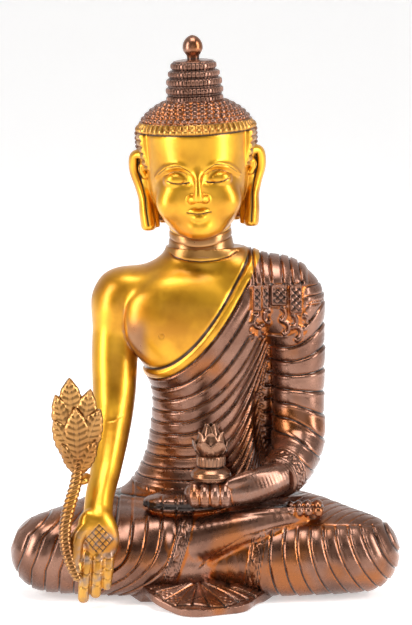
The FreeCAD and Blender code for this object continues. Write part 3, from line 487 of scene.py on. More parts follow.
right_border, right_border_cut = border(right_band, z)
left_border, left_border_cut = border(left_band, z)
on_right = ease(right_band, -2.4, -2.9) * front_share
on_left = ease(left_band, 2.4, 2.9) * ease(z, 27.6 + 0.02 * x, 26.4) * front_share
on_top = ease(normals[:, 2], 0.55, 0.8) * ease(y, -22, -16) * ease(np.abs(x - 2), 34, 24)
on_back = (1 - front_share) * (1 - hip_share)
on_right, on_left = on_right * (1 - on_top), on_left * (1 - on_top)
thigh_cut = (pleat((x - 0.9 * y) / 4.6)[1] * ease(x, 27, 31) * front_share * ease(z, 27.5, 29.5)
             * ease(y, -21, -18))
shin_edge = z - np.interp(x, [-3, 5, 14, 21, 29, 62], [13.5, 19.5, 25.6, 27.3, 28.3, 27.6])
shin_cut = stroke(shin_edge, 0.32) * ease(x, -3.5, -1) * front * (1 - 0.55 * ease(x, 26, 34))
foot_edge = np.sqrt(((x + 7.0) / 15.9) ** 2 + ((y + 14.0) / 9.1) ** 2) - 1
foot_cut = stroke(foot_edge, 0.03) * ease(z, 33, 34) * ease(x, 8, 4)
height = (right_height * on_right + left_height * on_left + back_height * on_back + hip_height * hip_share
          + right_border * on_right_band + left_border * on_left_band)
cut = (right_cut * on_right + left_cut * on_left + back_cut * on_back + hip_cut * hip_share * 0.8
       + right_border_cut * on_right_band + left_border_cut * on_left_band + 0.8 * shin_cut
       + 0.7 * thigh_cut + foot_cut)
height, cut = height * ease(z, 0.0, 1.5), np.clip(cut, 0, 1) * ease(z, 0.3, 1.5)
points = points + normals * (height - CUT_DEPTH * cut - 0.25)[:, None]
points[:, 2] = np.maximum(points[:, 2], 0.0)
cast("robe_legs", points, quads, "lower_body", cut,
     hollow=hollowness(points, quads, 12), dust=hollowness(points, quads, 40))

# ---- Hem fan -------------------------------------------------------------------------------------
# The end of the robe, gathered in a knot under the crossed shins and spread like a fan on the
# ground. It is cast with the legs, in folds that widen to a thick scalloped rim.
fan_x, fan_knot_y, fan_knot_z = -1.2, shin_y + 1.5, 12.5
fan_front, fan_back = body_low[1], -12.0
fan_half_width = 27.5
fan_rim = 2.7
FAN_STEP = 0.32


def fan_reach(x, y):
    """1 along the fan's bell-shaped rim, less inside it, and the bearing of a point from the knot."""
    across = (x - fan_x) / fan_half_width
    out = np.clip((fan_back - y) / (fan_back - fan_front), 0, None)
    turn = np.arctan2(x - fan_x + 1.5, np.clip(fan_knot_y - y, 0, None) * 1.25 + 2.0)
    return np.abs(across) ** 2.5 + out ** 1.05, turn


p = clay_block((-31, fan_front - 1, -1), (31, shin_y + 16, 15), FAN_STEP)
reach, turn = fan_reach(p[0], p[1])
flute = np.cos(turn * 6.6 + 0.4)
rise = np.clip(1 - reach, 0, 1)
lift = 5.2 * ease(-p[0], 9, 28) + 1.6 * ease(p[0], 12, 28)
top = fan_rim + lift + 0.5 * flute + 12.5 * rise - 4.5 * rise ** 2
fan = np.maximum((p[2] - top) * 0.7, (reach - 1 - 0.035 * flute) * 12)
fan = np.maximum(fan, p[2] - fan_knot_z - 0.3 * flute)
fan = carve(fan, p[2] - lift * ease(-p[1], 24, 30), 0.5)
points, quads, normals, (x, y, z) = surface(fan, p, FAN_STEP)
reach, turn = fan_reach(x, y)
fold, cut = pleat(turn * 3.35 + 0.35, 0.06)
upper = ease(normals[:, 2], 0.1, 0.45)
rim_cut = stroke(reach - 0.93, 0.014) * upper
scrolls = np.sin(turn * 42) * np.sin(reach * 80) * ease(reach, 0.72, 0.76) * ease(reach, 0.92, 0.89) * upper
cut = np.clip(cut * upper * ease(reach, 0.95, 0.91) + 0.8 * rim_cut + 0.45 * np.clip(scrolls, 0, 1), 0, 1)
points = points + normals * (1.0 * fold * upper * ease(reach, 1.0, 0.9) - 0.4 * cut - 0.15)[:, None]
points[:, 2] = np.maximum(points[:, 2], 0.0)
cast("hem_fan", points, quads, "lower_body", cut,
     hollow=hollowness(points, quads, 12), dust=hollowness(points, quads, 40))

# ---- Torso and arms ------------------------------------------------------------------------------
# A hollow torso that stands in the waist, and two arms cast solid and pinned to its shoulders:
# one bare and polished, one in its sleeve. The robe's hem is a polished band across the chest.
neck_z = torso_high[2]
shoulder_drop = 18.5
shoulder_z = neck_z - shoulder_drop
wrist_z = 36.0
FORM_STEP = 0.40
RIGHT_ARM = ((-31.5, 12, shoulder_z, 9.4), (-33.3, 9.5, 88, 8.6), (-33.6, 4, 72, 7.9), (-34.4, -4, 60, 6.8),
             (-36.2, -15, 47.5, 5.6), (-38.2, -24, 39, 5.2), (-38.8, -30.5, 31, 5.4))
LEFT_ARM = ((31.5, 12, shoulder_z, 11.8), (34.0, 11.6, 88, 10.2), (34.4, 11, 68, 9.6), (34.2, 7, 54, 9.9),
            (31.0, -4, 46.5, 8.6), (27.6, -11.5, 44.0, 7.4))


def chest_form(p):
    body = stacked(p, [
        (lap_z - 4, 25.5, 19.5, spine_x, spine_y), (lap_z, 25.5, 19.5, spine_x, spine_y),
        (lap_z + 6, 22.6, 17.6, spine_x, spine_y), (lap_z + 14, 20.2, 16.6, spine_x + 0.3, spine_y),
        (lap_z + 31, 18.9, 16.4, spine_x + 0.8, spine_y), (lap_z + 42, 21.6, 17.6, spine_x + 0.6, 12.5),
        (lap_z + 54, 25.6, 18.8, spine_x, 12.2), (lap_z + 63, 28.5, 18.6, spine_x, 12.3),
        (lap_z + 70, 31.0, 16.8, spine_x, 12.6), (lap_z + 76, 27.5, 14.4, spine_x, spine_y),
        (lap_z + 80, 21.0, 12.4, spine_x, spine_y), (lap_z + 84.5, 14.6, 11.4, spine_x, spine_y),
        (lap_z + 89, 12.4, 10.9, spine_x, spine_y)])
    breast = ball(p, (spine_x - 10.0, 1.5, lap_z + 60), (17, 6.6, 15))
    return blend(body, breast, 9)


def right_arm_form(p):
    arm = limb(p, RIGHT_ARM, 41)
    return blend(arm, ball(p, (spine_x - 29.0, spine_y, shoulder_z + 0.5), (10.4, 11.2, 12.0)), 5)


def left_arm_form(p):
    sleeve = limb(p, LEFT_ARM, 41)
    sleeve = blend(sleeve, ball(p, (spine_x + 29.0, spine_y - 0.5, shoulder_z + 0.5), (14.0, 12.8, 14.6)),
                   6)
    collar = limb(p, [(14.5, 12, 114.5, 9.6), (24, 12, 110.5, 10.5)], 3)
    return blend(sleeve, collar, 6)


def upper_body(p):
    """Chest and both arms run into one form, so that the pieces cut from it meet flush."""
    arm_grip = 0.8 + 8 * ease(p[2], shoulder_z - 1, shoulder_z + 13)
    body = blend(chest_form(p), right_arm_form(p), arm_grip)
    web = limb(p, [(21, 20, 46, 8), (21, 19, 70, 7), (23, 16, 92, 8)], 9)
    body = blend(body, web, 3)
    sleeve_grip = 1.2 + 7 * ease(p[2], shoulder_z - 8, shoulder_z + 10)
    return blend(body, left_arm_form(p), sleeve_grip)


def up_sleeve(x, y, z):
    """How far a point lies up the sleeve from the edge of the cuff."""
    return (x - 26.3) * 0.55 + (y + 12.5) * 0.8 + (z - 44.0) * 0.2


p = clay_block((-50, -34, lap_z - 6), (50, 38, neck_z + 4), FORM_STEP)
form = upper_body(p)
form = np.maximum(form, np.maximum(lap_z - 1 - p[2] - 40 * (np.hypot(p[0] + 1.5, p[1] - 13) > 27),
                                   p[2] - neck_z - 2.6))
form = np.maximum(form, -up_sleeve(*p) - 60 * (p[0] < 5))
form = np.maximum(form, wrist_z + 2 - p[2] - 60 * (p[0] > -20))
points, quads, normals, (x, y, z) = surface(form, p, FORM_STEP)


def wrap_level(x, z):
    """Height on the right flank at which the pleat through a point begins."""
    rise = np.clip((x + 20) / 42, 0, 1.15)
    start = z.copy()
    for _ in range(24):
        power = np.interp(start, [30, 45, 59, 67, 77.7, 90], [6.5, 5.4, 3.0, 2.69, 1.86, 1.5])
        reach = np.interp(start, [30, 45, 59, 67, 77.7, 90], [36, 36, 31.4, 31.8, 48.9, 58])
        start = start + 0.4 * (z - start - reach * rise ** power)
    return start


HEM_START = 77.7
wrap_spacing, sleeve_spacing = 4.1, 5.2
level = wrap_level(x, z)
slope_x = (wrap_level(x + 0.4, z) - level) / 0.4
slope_z = (wrap_level(x, z + 0.4) - level) / 0.4
from_hem = (level - HEM_START) / np.sqrt(slope_x ** 2 + slope_z ** 2 + 1e-4)
right_near = right_arm_form((x, y, z)) - chest_form((x, y, z))
left_near = left_arm_form((x, y, z)) - chest_form((x, y, z))
on_arm = (x < spine_x - seat) | ((right_near < 0) & (x < -10) & (z < shoulder_z + 2))
on_sleeve = ease(left_near, 0.6, -0.6) * ease(x, 18, 22) * ease(z, shoulder_z + 4, shoulder_z - 3)
robe = ease(from_hem, 0.15, -0.15) * ~on_arm
robe = np.maximum(robe, ease(x, 15, 17) * ease(z, 116, 118))
band = ease(from_hem, 3.3, 3.0) * ease(from_hem, -0.1, 0.2) * ~on_arm
wrapped_height, wrapped_cut = pleat((HEM_START - level) / wrap_spacing)
bend = (np.clip(x - 28, 0, None) / 14) ** 2
turned_height, turned_cut = pleat((110 - (z + 38 * bend) / (1 + 0.5 * bend)) / sleeve_spacing)
valley = (ease(np.abs(left_near), 4.5, 1.5) * ease(x, 14, 19) * ease(z, shoulder_z - 8, shoulder_z - 16)
          * ease(y, 8, 2))
pleated = robe * (1 - band)
height = pleated * (wrapped_height * (1 - on_sleeve) + turned_height * on_sleeve) * (1 - valley)
cut = pleated * (wrapped_cut * (1 - on_sleeve) + turned_cut * on_sleeve) * (1 - valley)
height = height + 0.75 * band * (1 - np.abs((from_hem - 1.6) / 1.7) ** 4)
cut = cut + (stroke(from_hem + 0.1, 0.3) + stroke(from_hem - 4.0, 0.75)) * ~on_arm * (x < 24)

# The end of the robe is thrown back over the shoulder: upright folds, their cut ends worked in
# lattice, and curled tassels under them.
over = ease(x, 15.5, 17.0) * ease(x, 38, 36) * ease(y, 22, 19)
front_over = over * ease(y, 10, 7)
folds = over * ease(z, 111.5, 113)
fold_lines = x - 0.12 * (118 - z)
fold_cut = sum(stroke(fold_lines - line, 0.28) for line in (17.8, 20.6, 23.7, 27.9, 31.1, 34.2))
fold_height = 0.55 + 0.55 * (1 - np.clip(fold_cut * 1.3, 0, 1))
area = over * ease(z, 93.5, 95.5)
height = height * (1 - area) + folds * fold_height
cut = cut * (1 - area) + folds * fold_cut
lattice_top, lattice_pitch = 113, 2.5
for left, right, bottom in ((17.6, 20.4, 103.2), (20.8, 23.4, 104.2), (23.9, 29.8, 105.4),
                            (30.6, 35.2, 102.4)):
    middle, half = (left + right) / 2, (right - left) / 2
    along = np.clip((z - bottom) / (lattice_top - bottom), 0, 1)
    edge = np.maximum(np.abs(x - middle) / half, np.abs(along - 0.5) * 2)
    pad = ease(edge, 1.0, 0.86) * front_over
    cross = sum(stroke(np.sin(np.pi * (x + way * z) / lattice_pitch), 0.4) for way in (1, -1))
    frame_line = front_over * stroke(edge - 1.03, 0.05) * 0.8 * (z < lattice_top + 0.5) * (z > bottom - 1)
    height = height + pad
    cut = cut + pad * np.clip(cross, 0, 1) * ease(edge, 0.8, 0.72) + frame_line
CURLS = ((15.4, 101.0, -1), (19.4, 99.8, -1), (23.2, 101.4, -1), (17.0, 96.6, -1), (21.4, 95.8, -1),
         (27.6, 102.4, 1), (31.6, 99.6, 1), (36.0, 99.0, 1), (28.8, 97.0, 1), (33.4, 95.0, 1))
for curl_x, curl_z, hand in CURLS:
    away = np.hypot((x - curl_x), (z - curl_z) * 0.7)
    crescent = stroke(away - 1.7, 0.55) * ease(hand * (x - curl_x), -0.9, 0.1)
    height = height + 1.05 * crescent * front_over
    cut = cut + front_over * 0.85 * stroke(away - 0.8, 0.3) * ease(hand * (x - curl_x), -0.9, 0.1)

# A fine border runs round the cuff, and the base of the throat has a cut crease.
cuff = up_sleeve(x, y, z)
near_cuff = ease(cuff, 7.2, 6.6) * (x > 15) * (z < 58) * on_sleeve
turn = np.arctan2(z - 44, (x - 27) * 0.8 - (y + 11) * 0.6) * 7
cuff_scroll = (stroke(cuff - 3.4 - 1.4 * np.sin(turn * 2), 0.34)
               + stroke(cuff - 3.4 + 1.4 * np.sin(turn * 4), 0.3) * 0.7)
cuff_lines = sum(stroke(cuff - line, 0.22) for line in (1.0, 6.2))
height = height * (1 - near_cuff) + near_cuff * 0.5
cut = (cut * (1 - near_cuff) + near_cuff * np.clip(cuff_scroll * ease(cuff, 1.3, 1.6) * ease(cuff, 5.8, 5.5)
                                                   + cuff_lines, 0, 1))
throat = z - np.interp(np.abs(x + 1.6), [0, 6, 10, 13], [121.2, 121.7, 122.8, 124.6])
cut = cut + 0.9 * stroke(throat, 0.35) * ease(y, 9, 5) * (np.abs(x + 1.6) < 13.5) * ~on_arm
elbow = (stroke(z - 64 - 0.12 * (x + 36) ** 2 * 0.5, 0.35) * on_arm * ease(y, 4, 0)
         * ease(np.abs(x + 32.5), 4, 1.5))
nipple = np.abs(np.hypot(x + 16, z - 95) - 1.0)
cut = cut + 0.3 * elbow + 0.55 * stroke(nipple, 0.25) * (y < 4)
cut = np.clip(cut, 0, 1)
points = points + normals * (height - CUT_DEPTH * cut - 0.22 * robe)[:, None]
# Painted shade of the bare arm: below the armpit the chest's flank turns from gold to copper brown (partly
# the brown edge of the polish).
flank = ease(x, -19.5, -24) * ease(z, 103, 97) * ~on_arm * (y < 14)
skin_gold_with_painted_shade = np.clip(1 - robe, 0, 1) * (1 - 0.85 * flank)
throat_share = ease(z, neck_z - 2.5, neck_z + 0.5) * (np.abs(x + 1.5) < 18)
gold = np.maximum(skin_gold_with_painted_shade * (1 - 0.6 * throat_share), band * 0.9)
hollow, dust = hollowness(points, quads, 12), hollowness(points, quads, 40)
smooth = normals_of(points, quads)

# One form is parted into the three castings where they are joined.
face_x, face_z = x[quads].mean(1), z[quads].mean(1)
arm_face = on_arm[quads].mean(1) > 0.5
sleeve_face = ((face_x > spine_x + seat) | ((left_near[quads].mean(1) < 0) & (face_x > 10)
                                            & (face_z < lap_z + 26)))
for name, chosen, node in (("chest_and_robe", ~arm_face & ~sleeve_face, "torso"),
                           ("right_arm", arm_face, "right_arm"),
                           ("left_sleeve", sleeve_face & ~arm_face, "left_arm")):
    used, corners = np.unique(quads[chosen], return_inverse=True)
    piece = cast(name, points[used], corners.reshape(-1, 4), node,
                 cut[used], gold[used], hollow[used], dust[used])
    piece.data.normals_split_custom_set_from_vertices(smooth[used].tolist())

# ---- Right hand ----------------------------------------------------------------------------------
# A small polished casting on a spigot in the forearm, open and let down in front of the shin.
# The palm carries a cut diamond lattice and the three straight fingers three creases each.
HAND_STEP = 0.28
palm_x, palm_y = -38.6, -32.2
p = clay_block((-51, -41, 0.5), (-29, -21, wrist_z + 7), HAND_STEP)
hand = np.maximum(limb(p, RIGHT_ARM, 41), p[2] - wrist_z - 3)
palm = ball(p, (palm_x + 0.4, palm_y + 0.6, 25.6), (7.3, 4.2, 10.0))
heel = ball(p, (palm_x - 3.2, palm_y - 1.0, 30.0), (4.0, 3.4, 6.4))
hand = blend(hand, palm, 2.5)
hand = blend(hand, heel, 1.2)
FINGERS = (
    ((-42.6, -33.2, 19.5, 2.4), (-43.2, -33.9, 12.0, 2.25), (-43.9, -33.6, 4.2, 2.0)),
    ((-38.6, -33.5, 19.0, 2.4), (-39.0, -34.2, 12.5, 2.25), (-39.5, -33.9, 6.0, 1.95)),
    ((-34.8, -33.1, 19.5, 2.2), (-35.1, -33.7, 14.0, 2.05), (-35.6, -33.4, 8.8, 1.8)),
    ((-44.4, -33.0, 23.5, 1.9), (-45.2, -35.0, 19.0, 1.8), (-45.6, -37.3, 15.6, 1.6)),
    ((-42.2, -34.0, 31.0, 2.8), (-45.4, -35.4, 27.0, 2.5), (-46.5, -36.4, 20.5, 2.2),
     (-46.8, -36.9, 15.0, 1.8)))
for path in FINGERS:
    hand = blend(hand, limb(p, path, 15), 0.45)
points, quads, normals, (x, y, z) = surface(hand, p, HAND_STEP)
front = ease(-normals[:, 1], 0.2, 0.6)
cut = np.zeros(len(x))
for path in FINGERS[:3]:
    root, tip = path[0], path[-1]
    along = (root[2] - z) / (root[2] - tip[2] + 1.2)
    near = ease(np.abs(x - np.interp(z, [tip[2], root[2]], [tip[0], root[0]])), 2.1, 1.6)
    for place in (0.04, 0.36, 0.68):
        arc = along - place - 0.02 * np.cos((x - root[0]) * 1.5)
        cut = cut + 0.7 * stroke(arc * 17, 0.24) * near * front
lattice_x, lattice_z = x - palm_x - 0.6, z - 26.0
inside = ease(np.abs(lattice_x) / 5.4 + np.abs(lattice_z) / 6.4, 1.0, 0.94)
weave = np.maximum(stroke(np.sin(np.pi * (lattice_x / 1.25 + lattice_z / 1.4) / 2), 0.42),
                   stroke(np.sin(np.pi * (lattice_x / 1.25 - lattice_z / 1.4) / 2), 0.42))
cut = np.clip(cut + 0.9 * weave * inside * front * ease(z, 20.5, 21.5), 0, 1)
points = points - normals * (0.3 * cut)[:, None]
worn = front * ease(z, 33, 28)
cast("right_hand", points, quads, "right_hand", cut, 1 - 0.4 * worn, hollowness(points, quads), 0.7 * worn)

# ---- Left hand -----------------------------------------------------------------------------------
# A small casting on a spigot in the sleeve. It lies palm up in the lap with the fingers curled
# and is lacquered like the robe.
_, bowl_high, (bowl_x, bowl_y, _), _ = box_of("medicine_bowl")
bowl_height = 10.0
palm_top = bowl_high[2] - bowl_height
p = clay_block((-12, -33, 31), (34, -4, 54), HAND_STEP)
hand = limb(p, [(30, -8.5, 45.0, 6.4), (23, -15.0, 43.0, 6.2), (14, -20, 41.0, 5.6), (4, -21.5, 40.2, 4.8),
                (-4, -20, 39.6, 3.8)],
            33, (1, 0.8, 1.0))
hand = np.maximum(hand, p[2] - palm_top - np.clip(p[0] - 10, 0, 30) * 0.35)
thumb = limb(p, [(24, -17, 46.2, 3.4), (17, -21.5, 45.6, 3.0), (11.5, -24.4, 44.8, 2.4),
                 (8.8, -25.4, 44.2, 1.9)], 17)
hand = blend(hand, thumb, 1.0)
FINGER_PLACES = (-3.8, -0.1, 3.7, 7.4)
for x0 in FINGER_PLACES:
    finger = limb(p, [(x0 + 1.5, -22.5, 37.2, 2.1), (x0, -26.6, 37.8, 2.1), (x0 - 0.2, -27.2, 40.6, 2.0),
                      (x0 - 0.2, -25.4, 42.8, 1.7)], 15)
    hand = blend(hand, finger, 0.4)
hand = np.maximum(hand, p[0] - 30.5)
points, quads, normals, (x, y, z) = surface(hand, p, HAND_STEP)
cut = np.zeros(len(x))
for x0 in FINGER_PLACES:
    nail = np.sqrt(((x - x0 + 0.2) / 1.25) ** 2 + ((z - 41.2) / 1.6) ** 2)
    cut = cut + 0.4 * stroke(nail - 1, 0.16) * ease(-normals[:, 1], 0.1, 0.4)
    cut = cut + 0.6 * stroke(z - 38.2 + 0.12 * (x - x0) ** 2, 0.22) * (np.abs(x - x0) < 1.8) * (y < -25)
cut = np.clip(cut, 0, 1)
points = points - normals * (0.22 * cut)[:, None]
cast("left_hand", points, quads, "left_hand", cut, hollow=hollowness(points, quads), dust=0.4)

# ---- Head ----------------------------------------------------------------------------------------
# A hollow casting with the neck, the ears and the cap of hair in one. The face is chased and
# polished. The hair is rows of small curls cut in with a punch, over an upright polished fringe.
HEAD_STEP = 0.36
head_lean = math.radians(2.5)
hairline = 46.0


def head_place(x, y, z):
    """Place of a point measured from the neck seam, along the leaning head."""
    across, up = x - spine_x, z - neck_z
    return (across * math.cos(head_lean) + up * math.sin(head_lean), y - spine_y,
            up * math.cos(head_lean) - across * math.sin(head_lean))


p = clay_block((-31, -18, neck_z - 0.5), (25, 37.5, neck_z + 60), HEAD_STEP)
q = [np.asarray(a, np.float32) for a in head_place(*np.broadcast_arrays(*p))]
skull = stacked(q, [
    (8.2, 6.5, 6.0, 0, -12.5), (10, 9.6, 9.0, 0, -10.7), (14, 13.4, 13.2, 0, -7.6),
    (20, 16.4, 17.6, 0, -4.0),
    (27, 18.2, 20.4, 0, -1.6), (34, 19.0, 21.8, 0, -0.6), (40, 19.6, 22.2, 0, -0.1),
    (47, 20.0, 22.3, 0, 0)])
skull = np.maximum(skull, np.maximum(8.2 - q[2], q[2] - 47) * 0.9)
dome = ball(q, (0, 0, 43.5), (21.6, 22.3, 14.2))
dome = np.maximum(dome, hairline - q[2])
back_hair = stacked(q, [(10, 14, 12, 0, 5.5), (18, 18.0, 15.6, 0, 4.6), (28, 20.2, 18.6, 0, 3.2),
                        (40, 21.6, 21.8, 0, 0.5),
                        (50, 21.6, 22.3, 0, 0)])
back_hair = np.maximum(back_hair, np.maximum(11 - q[2], q[2] - hairline - 1))
side_front = -9.5 + 14.5 * ease(q[2], 33, 30)
back_hair = np.maximum(back_hair, side_front - q[1])
head = blend(skull, dome, 0.5)
neck = stacked(q, [(-2, 13.4, 11.8, 0, 0), (2, 12.3, 10.9, 0, 0), (5, 11.7, 10.6, 0, 0),
                   (10, 11.4, 10.5, 0, 0), (20, 11, 10.3, 0, 0)])
neck = np.maximum(neck, q[2] - 18)
head = blend(head, neck, 1.6)
head = blend(head, back_hair, 0.4)

# The face: brows a third of the way down from the hairline to the chin, the foot of the nose
# two thirds, lowered lids, a quiet mouth.
chin_z = 9.0
third = (hairline - chin_z) / 3
brow_z, nose_z = hairline - third, chin_z + third
eye_z, mouth_z = brow_z - 4.0, nose_z - third * 0.36
for side in (-1, 1):
    brow = limb(q, [(side * 2.2, -21.9, brow_z - 2.2, 0.7), (side * 6.5, -21.2, brow_z + 0.8, 0.9),
                    (side * 11.5, -18.2, brow_z - 0.2, 0.8), (side * 15.2, -13.6, brow_z - 3.6, 0.5)], 9)
    head = blend(head, brow, 1.4)
    socket = ball(q, (side * 7.4, -22.8, eye_z + 0.6), (5.4, 3.0, 3.4))
    head = carve(head, socket, 2.2)
    lid = ball(q, (side * 7.5, -16.9, eye_z - 0.2), (4.9, 4.3, 3.3))
    head = blend(head, lid, 0.5)
    wing = ball(q, (side * 2.3, -22.4, nose_z + 1.2), (1.7, 2.0, 1.6))
    head = blend(head, wing, 0.7)
    cheek = ball(q, (side * 8.6, -15.5, nose_z - 0.5), (6.5, 5.5, 6.5))
    head = blend(head, cheek, 4)
bridge = limb(q, [(0, -21.2, brow_z - 1.0, 1.1), (0, -22.8, eye_z, 1.2), (0, -24.6, nose_z + 3.4, 1.5),
                  (0, -24.4, nose_z + 1.7, 1.7)], 9)
head = blend(head, bridge, 1.4)
upper_lip = limb(q, [(-4.6, -20.0, mouth_z + 0.5, 0.5), (-1.8, -21.7, mouth_z + 1.1, 0.95),
                     (0, -21.9, mouth_z + 0.8, 0.85),
                     (1.8, -21.7, mouth_z + 1.1, 0.95), (4.6, -20.0, mouth_z + 0.5, 0.5)], 13)
lower_lip = limb(q, [(-3.8, -20.2, mouth_z - 0.3, 0.5), (0, -21.4, mouth_z - 1.3, 1.15),
                     (3.8, -20.2, mouth_z - 0.3, 0.5)], 9)
head = blend(head, upper_lip, 0.7)
head = blend(head, lower_lip, 0.7)
head = blend(head, ball(q, (0, -17.4, chin_z + 2.6), (4.4, 4.2, 3.6)), 3)
for side in (-1, 1):
    ear = limb(q, [(side * 18.6, -3.5, 34.0, 1.5), (side * 20.2, -2.6, 37.4, 1.8),
                   (side * 22.8, -0.6, 36.6, 2.0),
                   (side * 23.0, 0.6, 31.5, 2.1), (side * 21.2, 0.2, 26, 2.2), (side * 19.8, -0.6, 21, 2.4),
                   (side * 19.4, -1.2, 16, 2.7), (side * 18.9, -1.4, 11.4, 2.8)], 33, (1, 0.62, 1))
    ear = np.maximum(ear, 9.6 - q[2])
    inner = limb(q, [(side * 20.0, 0.6, 33.5, 2.5), (side * 19.2, 0.2, 26, 2.5),
                     (side * 16.9, 0.8, 17, 1.9), (side * 16.6, 0.8, 11.0, 1.9)],
                 17, (1, 0.8, 1))
    inner = np.maximum(inner, 10.2 - q[2])
    helix = limb(q, [(side * 19.4, -3.0, 29.5, 1.0), (side * 20.6, -3.2, 32.2, 1.1),
                     (side * 20.0, -3.2, 34.4, 0.9)], 11)
    head = blend(head, blend(blend(ear, inner, 0.4), helix, 0.5), 0.5)
head = np.maximum(head, q[2] - 56.2)
points, quads, normals, places = surface(head, p, HEAD_STEP)
u, v, w = head_place(*places)
outward = np.hypot(u, v)
ear_part = (np.abs(u) > 17.2) & (w < 39.6) & (v > -6) & (v < 6)
hair = ease(w, hairline - 0.3, hairline + 0.3) + ease(v, 3.5, 4.5) * ease(w, 11, 12.5)
hair = np.clip(hair + ease(v, -9.2, -8.4) * ease(w, 32, 33.5) * (~ear_part), 0, 1)
fringe = ease(w, hairline - 0.2, hairline + 0.2) * ease(w, hairline + 3.1, hairline + 2.7)
temple = hair * ease(v, -4.2, -4.8) * ease(w, hairline + 0.2, hairline - 0.2) * ease(w, 31, 32)
fringe = np.maximum(fringe, temple) * ease(v, 4, 1)
cap_radius, row_pitch, curl_pitch, fringe_count = 22, 2.25, 2.3, 54
steep = np.arctan2(outward / cap_radius, (w - 39) / 15.0)
row = steep * cap_radius / row_pitch
row_turn = (np.floor(row) + 0.5) * row_pitch / cap_radius
row_length = 2 * np.pi * cap_radius * np.sin(np.clip(row_turn, 0.05, np.pi / 2))
ring = np.maximum(np.round(row_length / curl_pitch), 6)
column = np.arctan2(u, v) / (2 * np.pi) * ring + 0.5 * (np.floor(row) % 2)
curl = scallop(row, 2.6) * scallop(column, 2.6)
tick = np.where(temple > 0.5, w / 2.4, np.arctan2(u, v) / (2 * np.pi) * fringe_count)
tick_height = scallop(tick)
raised = 0.95 * curl * hair * (1 - fringe) + 0.7 * tick_height * fringe
cut = (np.clip((1 - curl) * 1.6 - 0.9, 0, 1) * hair * (1 - fringe)
       + np.clip((1 - tick_height) * 1.5 - 0.7, 0, 1) * fringe)
cut = cut + stroke(w - hairline + 0.6, 0.5) * ease(v, -8.2, -9) * 0.9
face = ease(v, -7, -9)
for side in (-1, 1):
    along = np.clip((side * u - 3.0) / 8.8, 0, 1)
    inside = ease(side * u, 2.6, 3.4) * ease(side * u, 12.2, 11.2)
    lid_line = w - (eye_z - 1.0 - 0.9 * np.sin(np.pi * along) + 0.7 * along)
    lid_fold = w - (eye_z + 1.4 + 1.5 * np.sin(np.pi * along))
    cut = cut + face * inside * (stroke(lid_line, 0.3) + 0.7 * stroke(lid_fold, 0.24))
    brow_line = (w - np.interp(side * u, [2.2, 6.5, 11.5, 15.2],
                               [brow_z - 1.9, brow_z + 1.1, brow_z + 0.2, brow_z - 3.2]))
    cut = cut + face * 0.8 * ease(side * u, 2.0, 3.0) * ease(side * u, 15.5, 14) * stroke(brow_line, 0.32)
    ear_groove = np.abs(side * u - np.interp(w, [11, 17, 22, 26, 31, 35],
                                             [18.8, 19.4, 19.6, 20.4, 21.6, 21.6]))
    cut = (cut + ease(w, 10.5, 12) * ease(w, 36.5, 35.5) * stroke(ear_groove, 0.45)
           * ease(-normals[:, 1], 0.2, 0.5) * (side * u > 16.9))
mouth_line = w - (mouth_z + 0.12 + 0.05 * u ** 2 * 0.6)
cut = cut + face * ease(np.abs(u), 5.0, 4.4) * stroke(mouth_line, 0.26)
for ring_z in (3.4, 6.4):
    cut = cut + 0.7 * stroke(w - ring_z - 0.02 * u ** 2, 0.4) * (outward < 13.5)
cut = np.clip(cut, 0, 1)
points = points + normals * (raised - CUT_DEPTH * cut)[:, None]
gold = np.clip(1 - hair + 0.55 * fringe, 0, 1) * (0.25 + 0.75 * ease(w, 7, 9.5))
gold = np.where(ear_part & (w < 39), np.maximum(gold, 0.7), gold)
cast("head", points, quads, "head", cut, gold, hollowness(points, quads))

# ---- Hair knot -----------------------------------------------------------------------------------
# A hollow casting on a spigot in the crown: five rows of curls stepped up to a low dome, with a
# thin raised line between the rows.
knot_low, _, (knot_x, knot_y, _), (_, _, knot_half_height) = box_of("hair_knot")


def turned(profile, around, height):
    """Points and faces of a form turned on an axis. Profile rows are (radius, height), bottom up."""
    profile = np.array(profile, float)
    angles = np.linspace(0, 2 * np.pi, around, endpoint=False)
    rows = len(profile)
    radius = np.repeat(profile[:, :1], around, 1)
    level = np.repeat(profile[:, 1:2], around, 1) + height
    angle = np.repeat(angles[None, :], rows, 0)
    index = np.arange(rows * around).reshape(rows, around)
    a, b = index[:-1], index[1:]
    faces = np.stack([a, np.roll(a, -1, 1), np.roll(b, -1, 1), b], -1).reshape(-1, 4)
    return radius, level, angle, faces


def leaned(radius, level, angle, foot):
    """Turned points set on the leaning head over a foot point."""
    side = radius * np.cos(angle)
    x = foot[0] + side * math.cos(head_lean) - level * math.sin(head_lean)
    z = foot[2] + level * math.cos(head_lean) + side * math.sin(head_lean)
    return np.stack([x, foot[1] + radius * np.sin(angle), z], -1).reshape(-1, 3)


KNOT_ROWS = ((10.6, 3.2), (10.7, 3.0), (10.4, 3.2), (9.7, 2.7), (8.6, 3.0))
profile, nick, between, tooth_ring = [(3.0, -1.0), (9.9, -0.8)], [0, 0], [1, 1], [0, 0]
tooth_pitch = 1.6
base = 0.0
for radius, tall in KNOT_ROWS:
    for s in np.linspace(0, 1, 15):
        bulge = 1 - abs(2 * s - 1) ** 3
        line = math.exp(-((s - 0.02) / 0.05) ** 2)
        profile.append((radius - 1.0 + 0.9 * bulge + 0.5 * line, base + tall * s))
        nick.append(bulge ** 0.5)
        tooth_ring.append(radius)
        between.append(math.exp(-(min(abs(s - 0.10), abs(s - 0.94)) / 0.06) ** 2))
    base += tall
for s in np.linspace(0, 1, 10)[1:]:
    profile.append((7.6 * math.cos(s * math.pi / 2) + 0.01, base + 1.0 * math.sin(s * math.pi / 2)))
    nick.append(0)
    tooth_ring.append(9)
    between.append(0.1)
radius, level, angle, faces = turned(profile, 440, 0)
nick, between = np.array(nick)[:, None], np.array(between)[:, None]
row_count = np.round(2 * np.pi * np.array(tooth_ring)[:, None] / tooth_pitch)
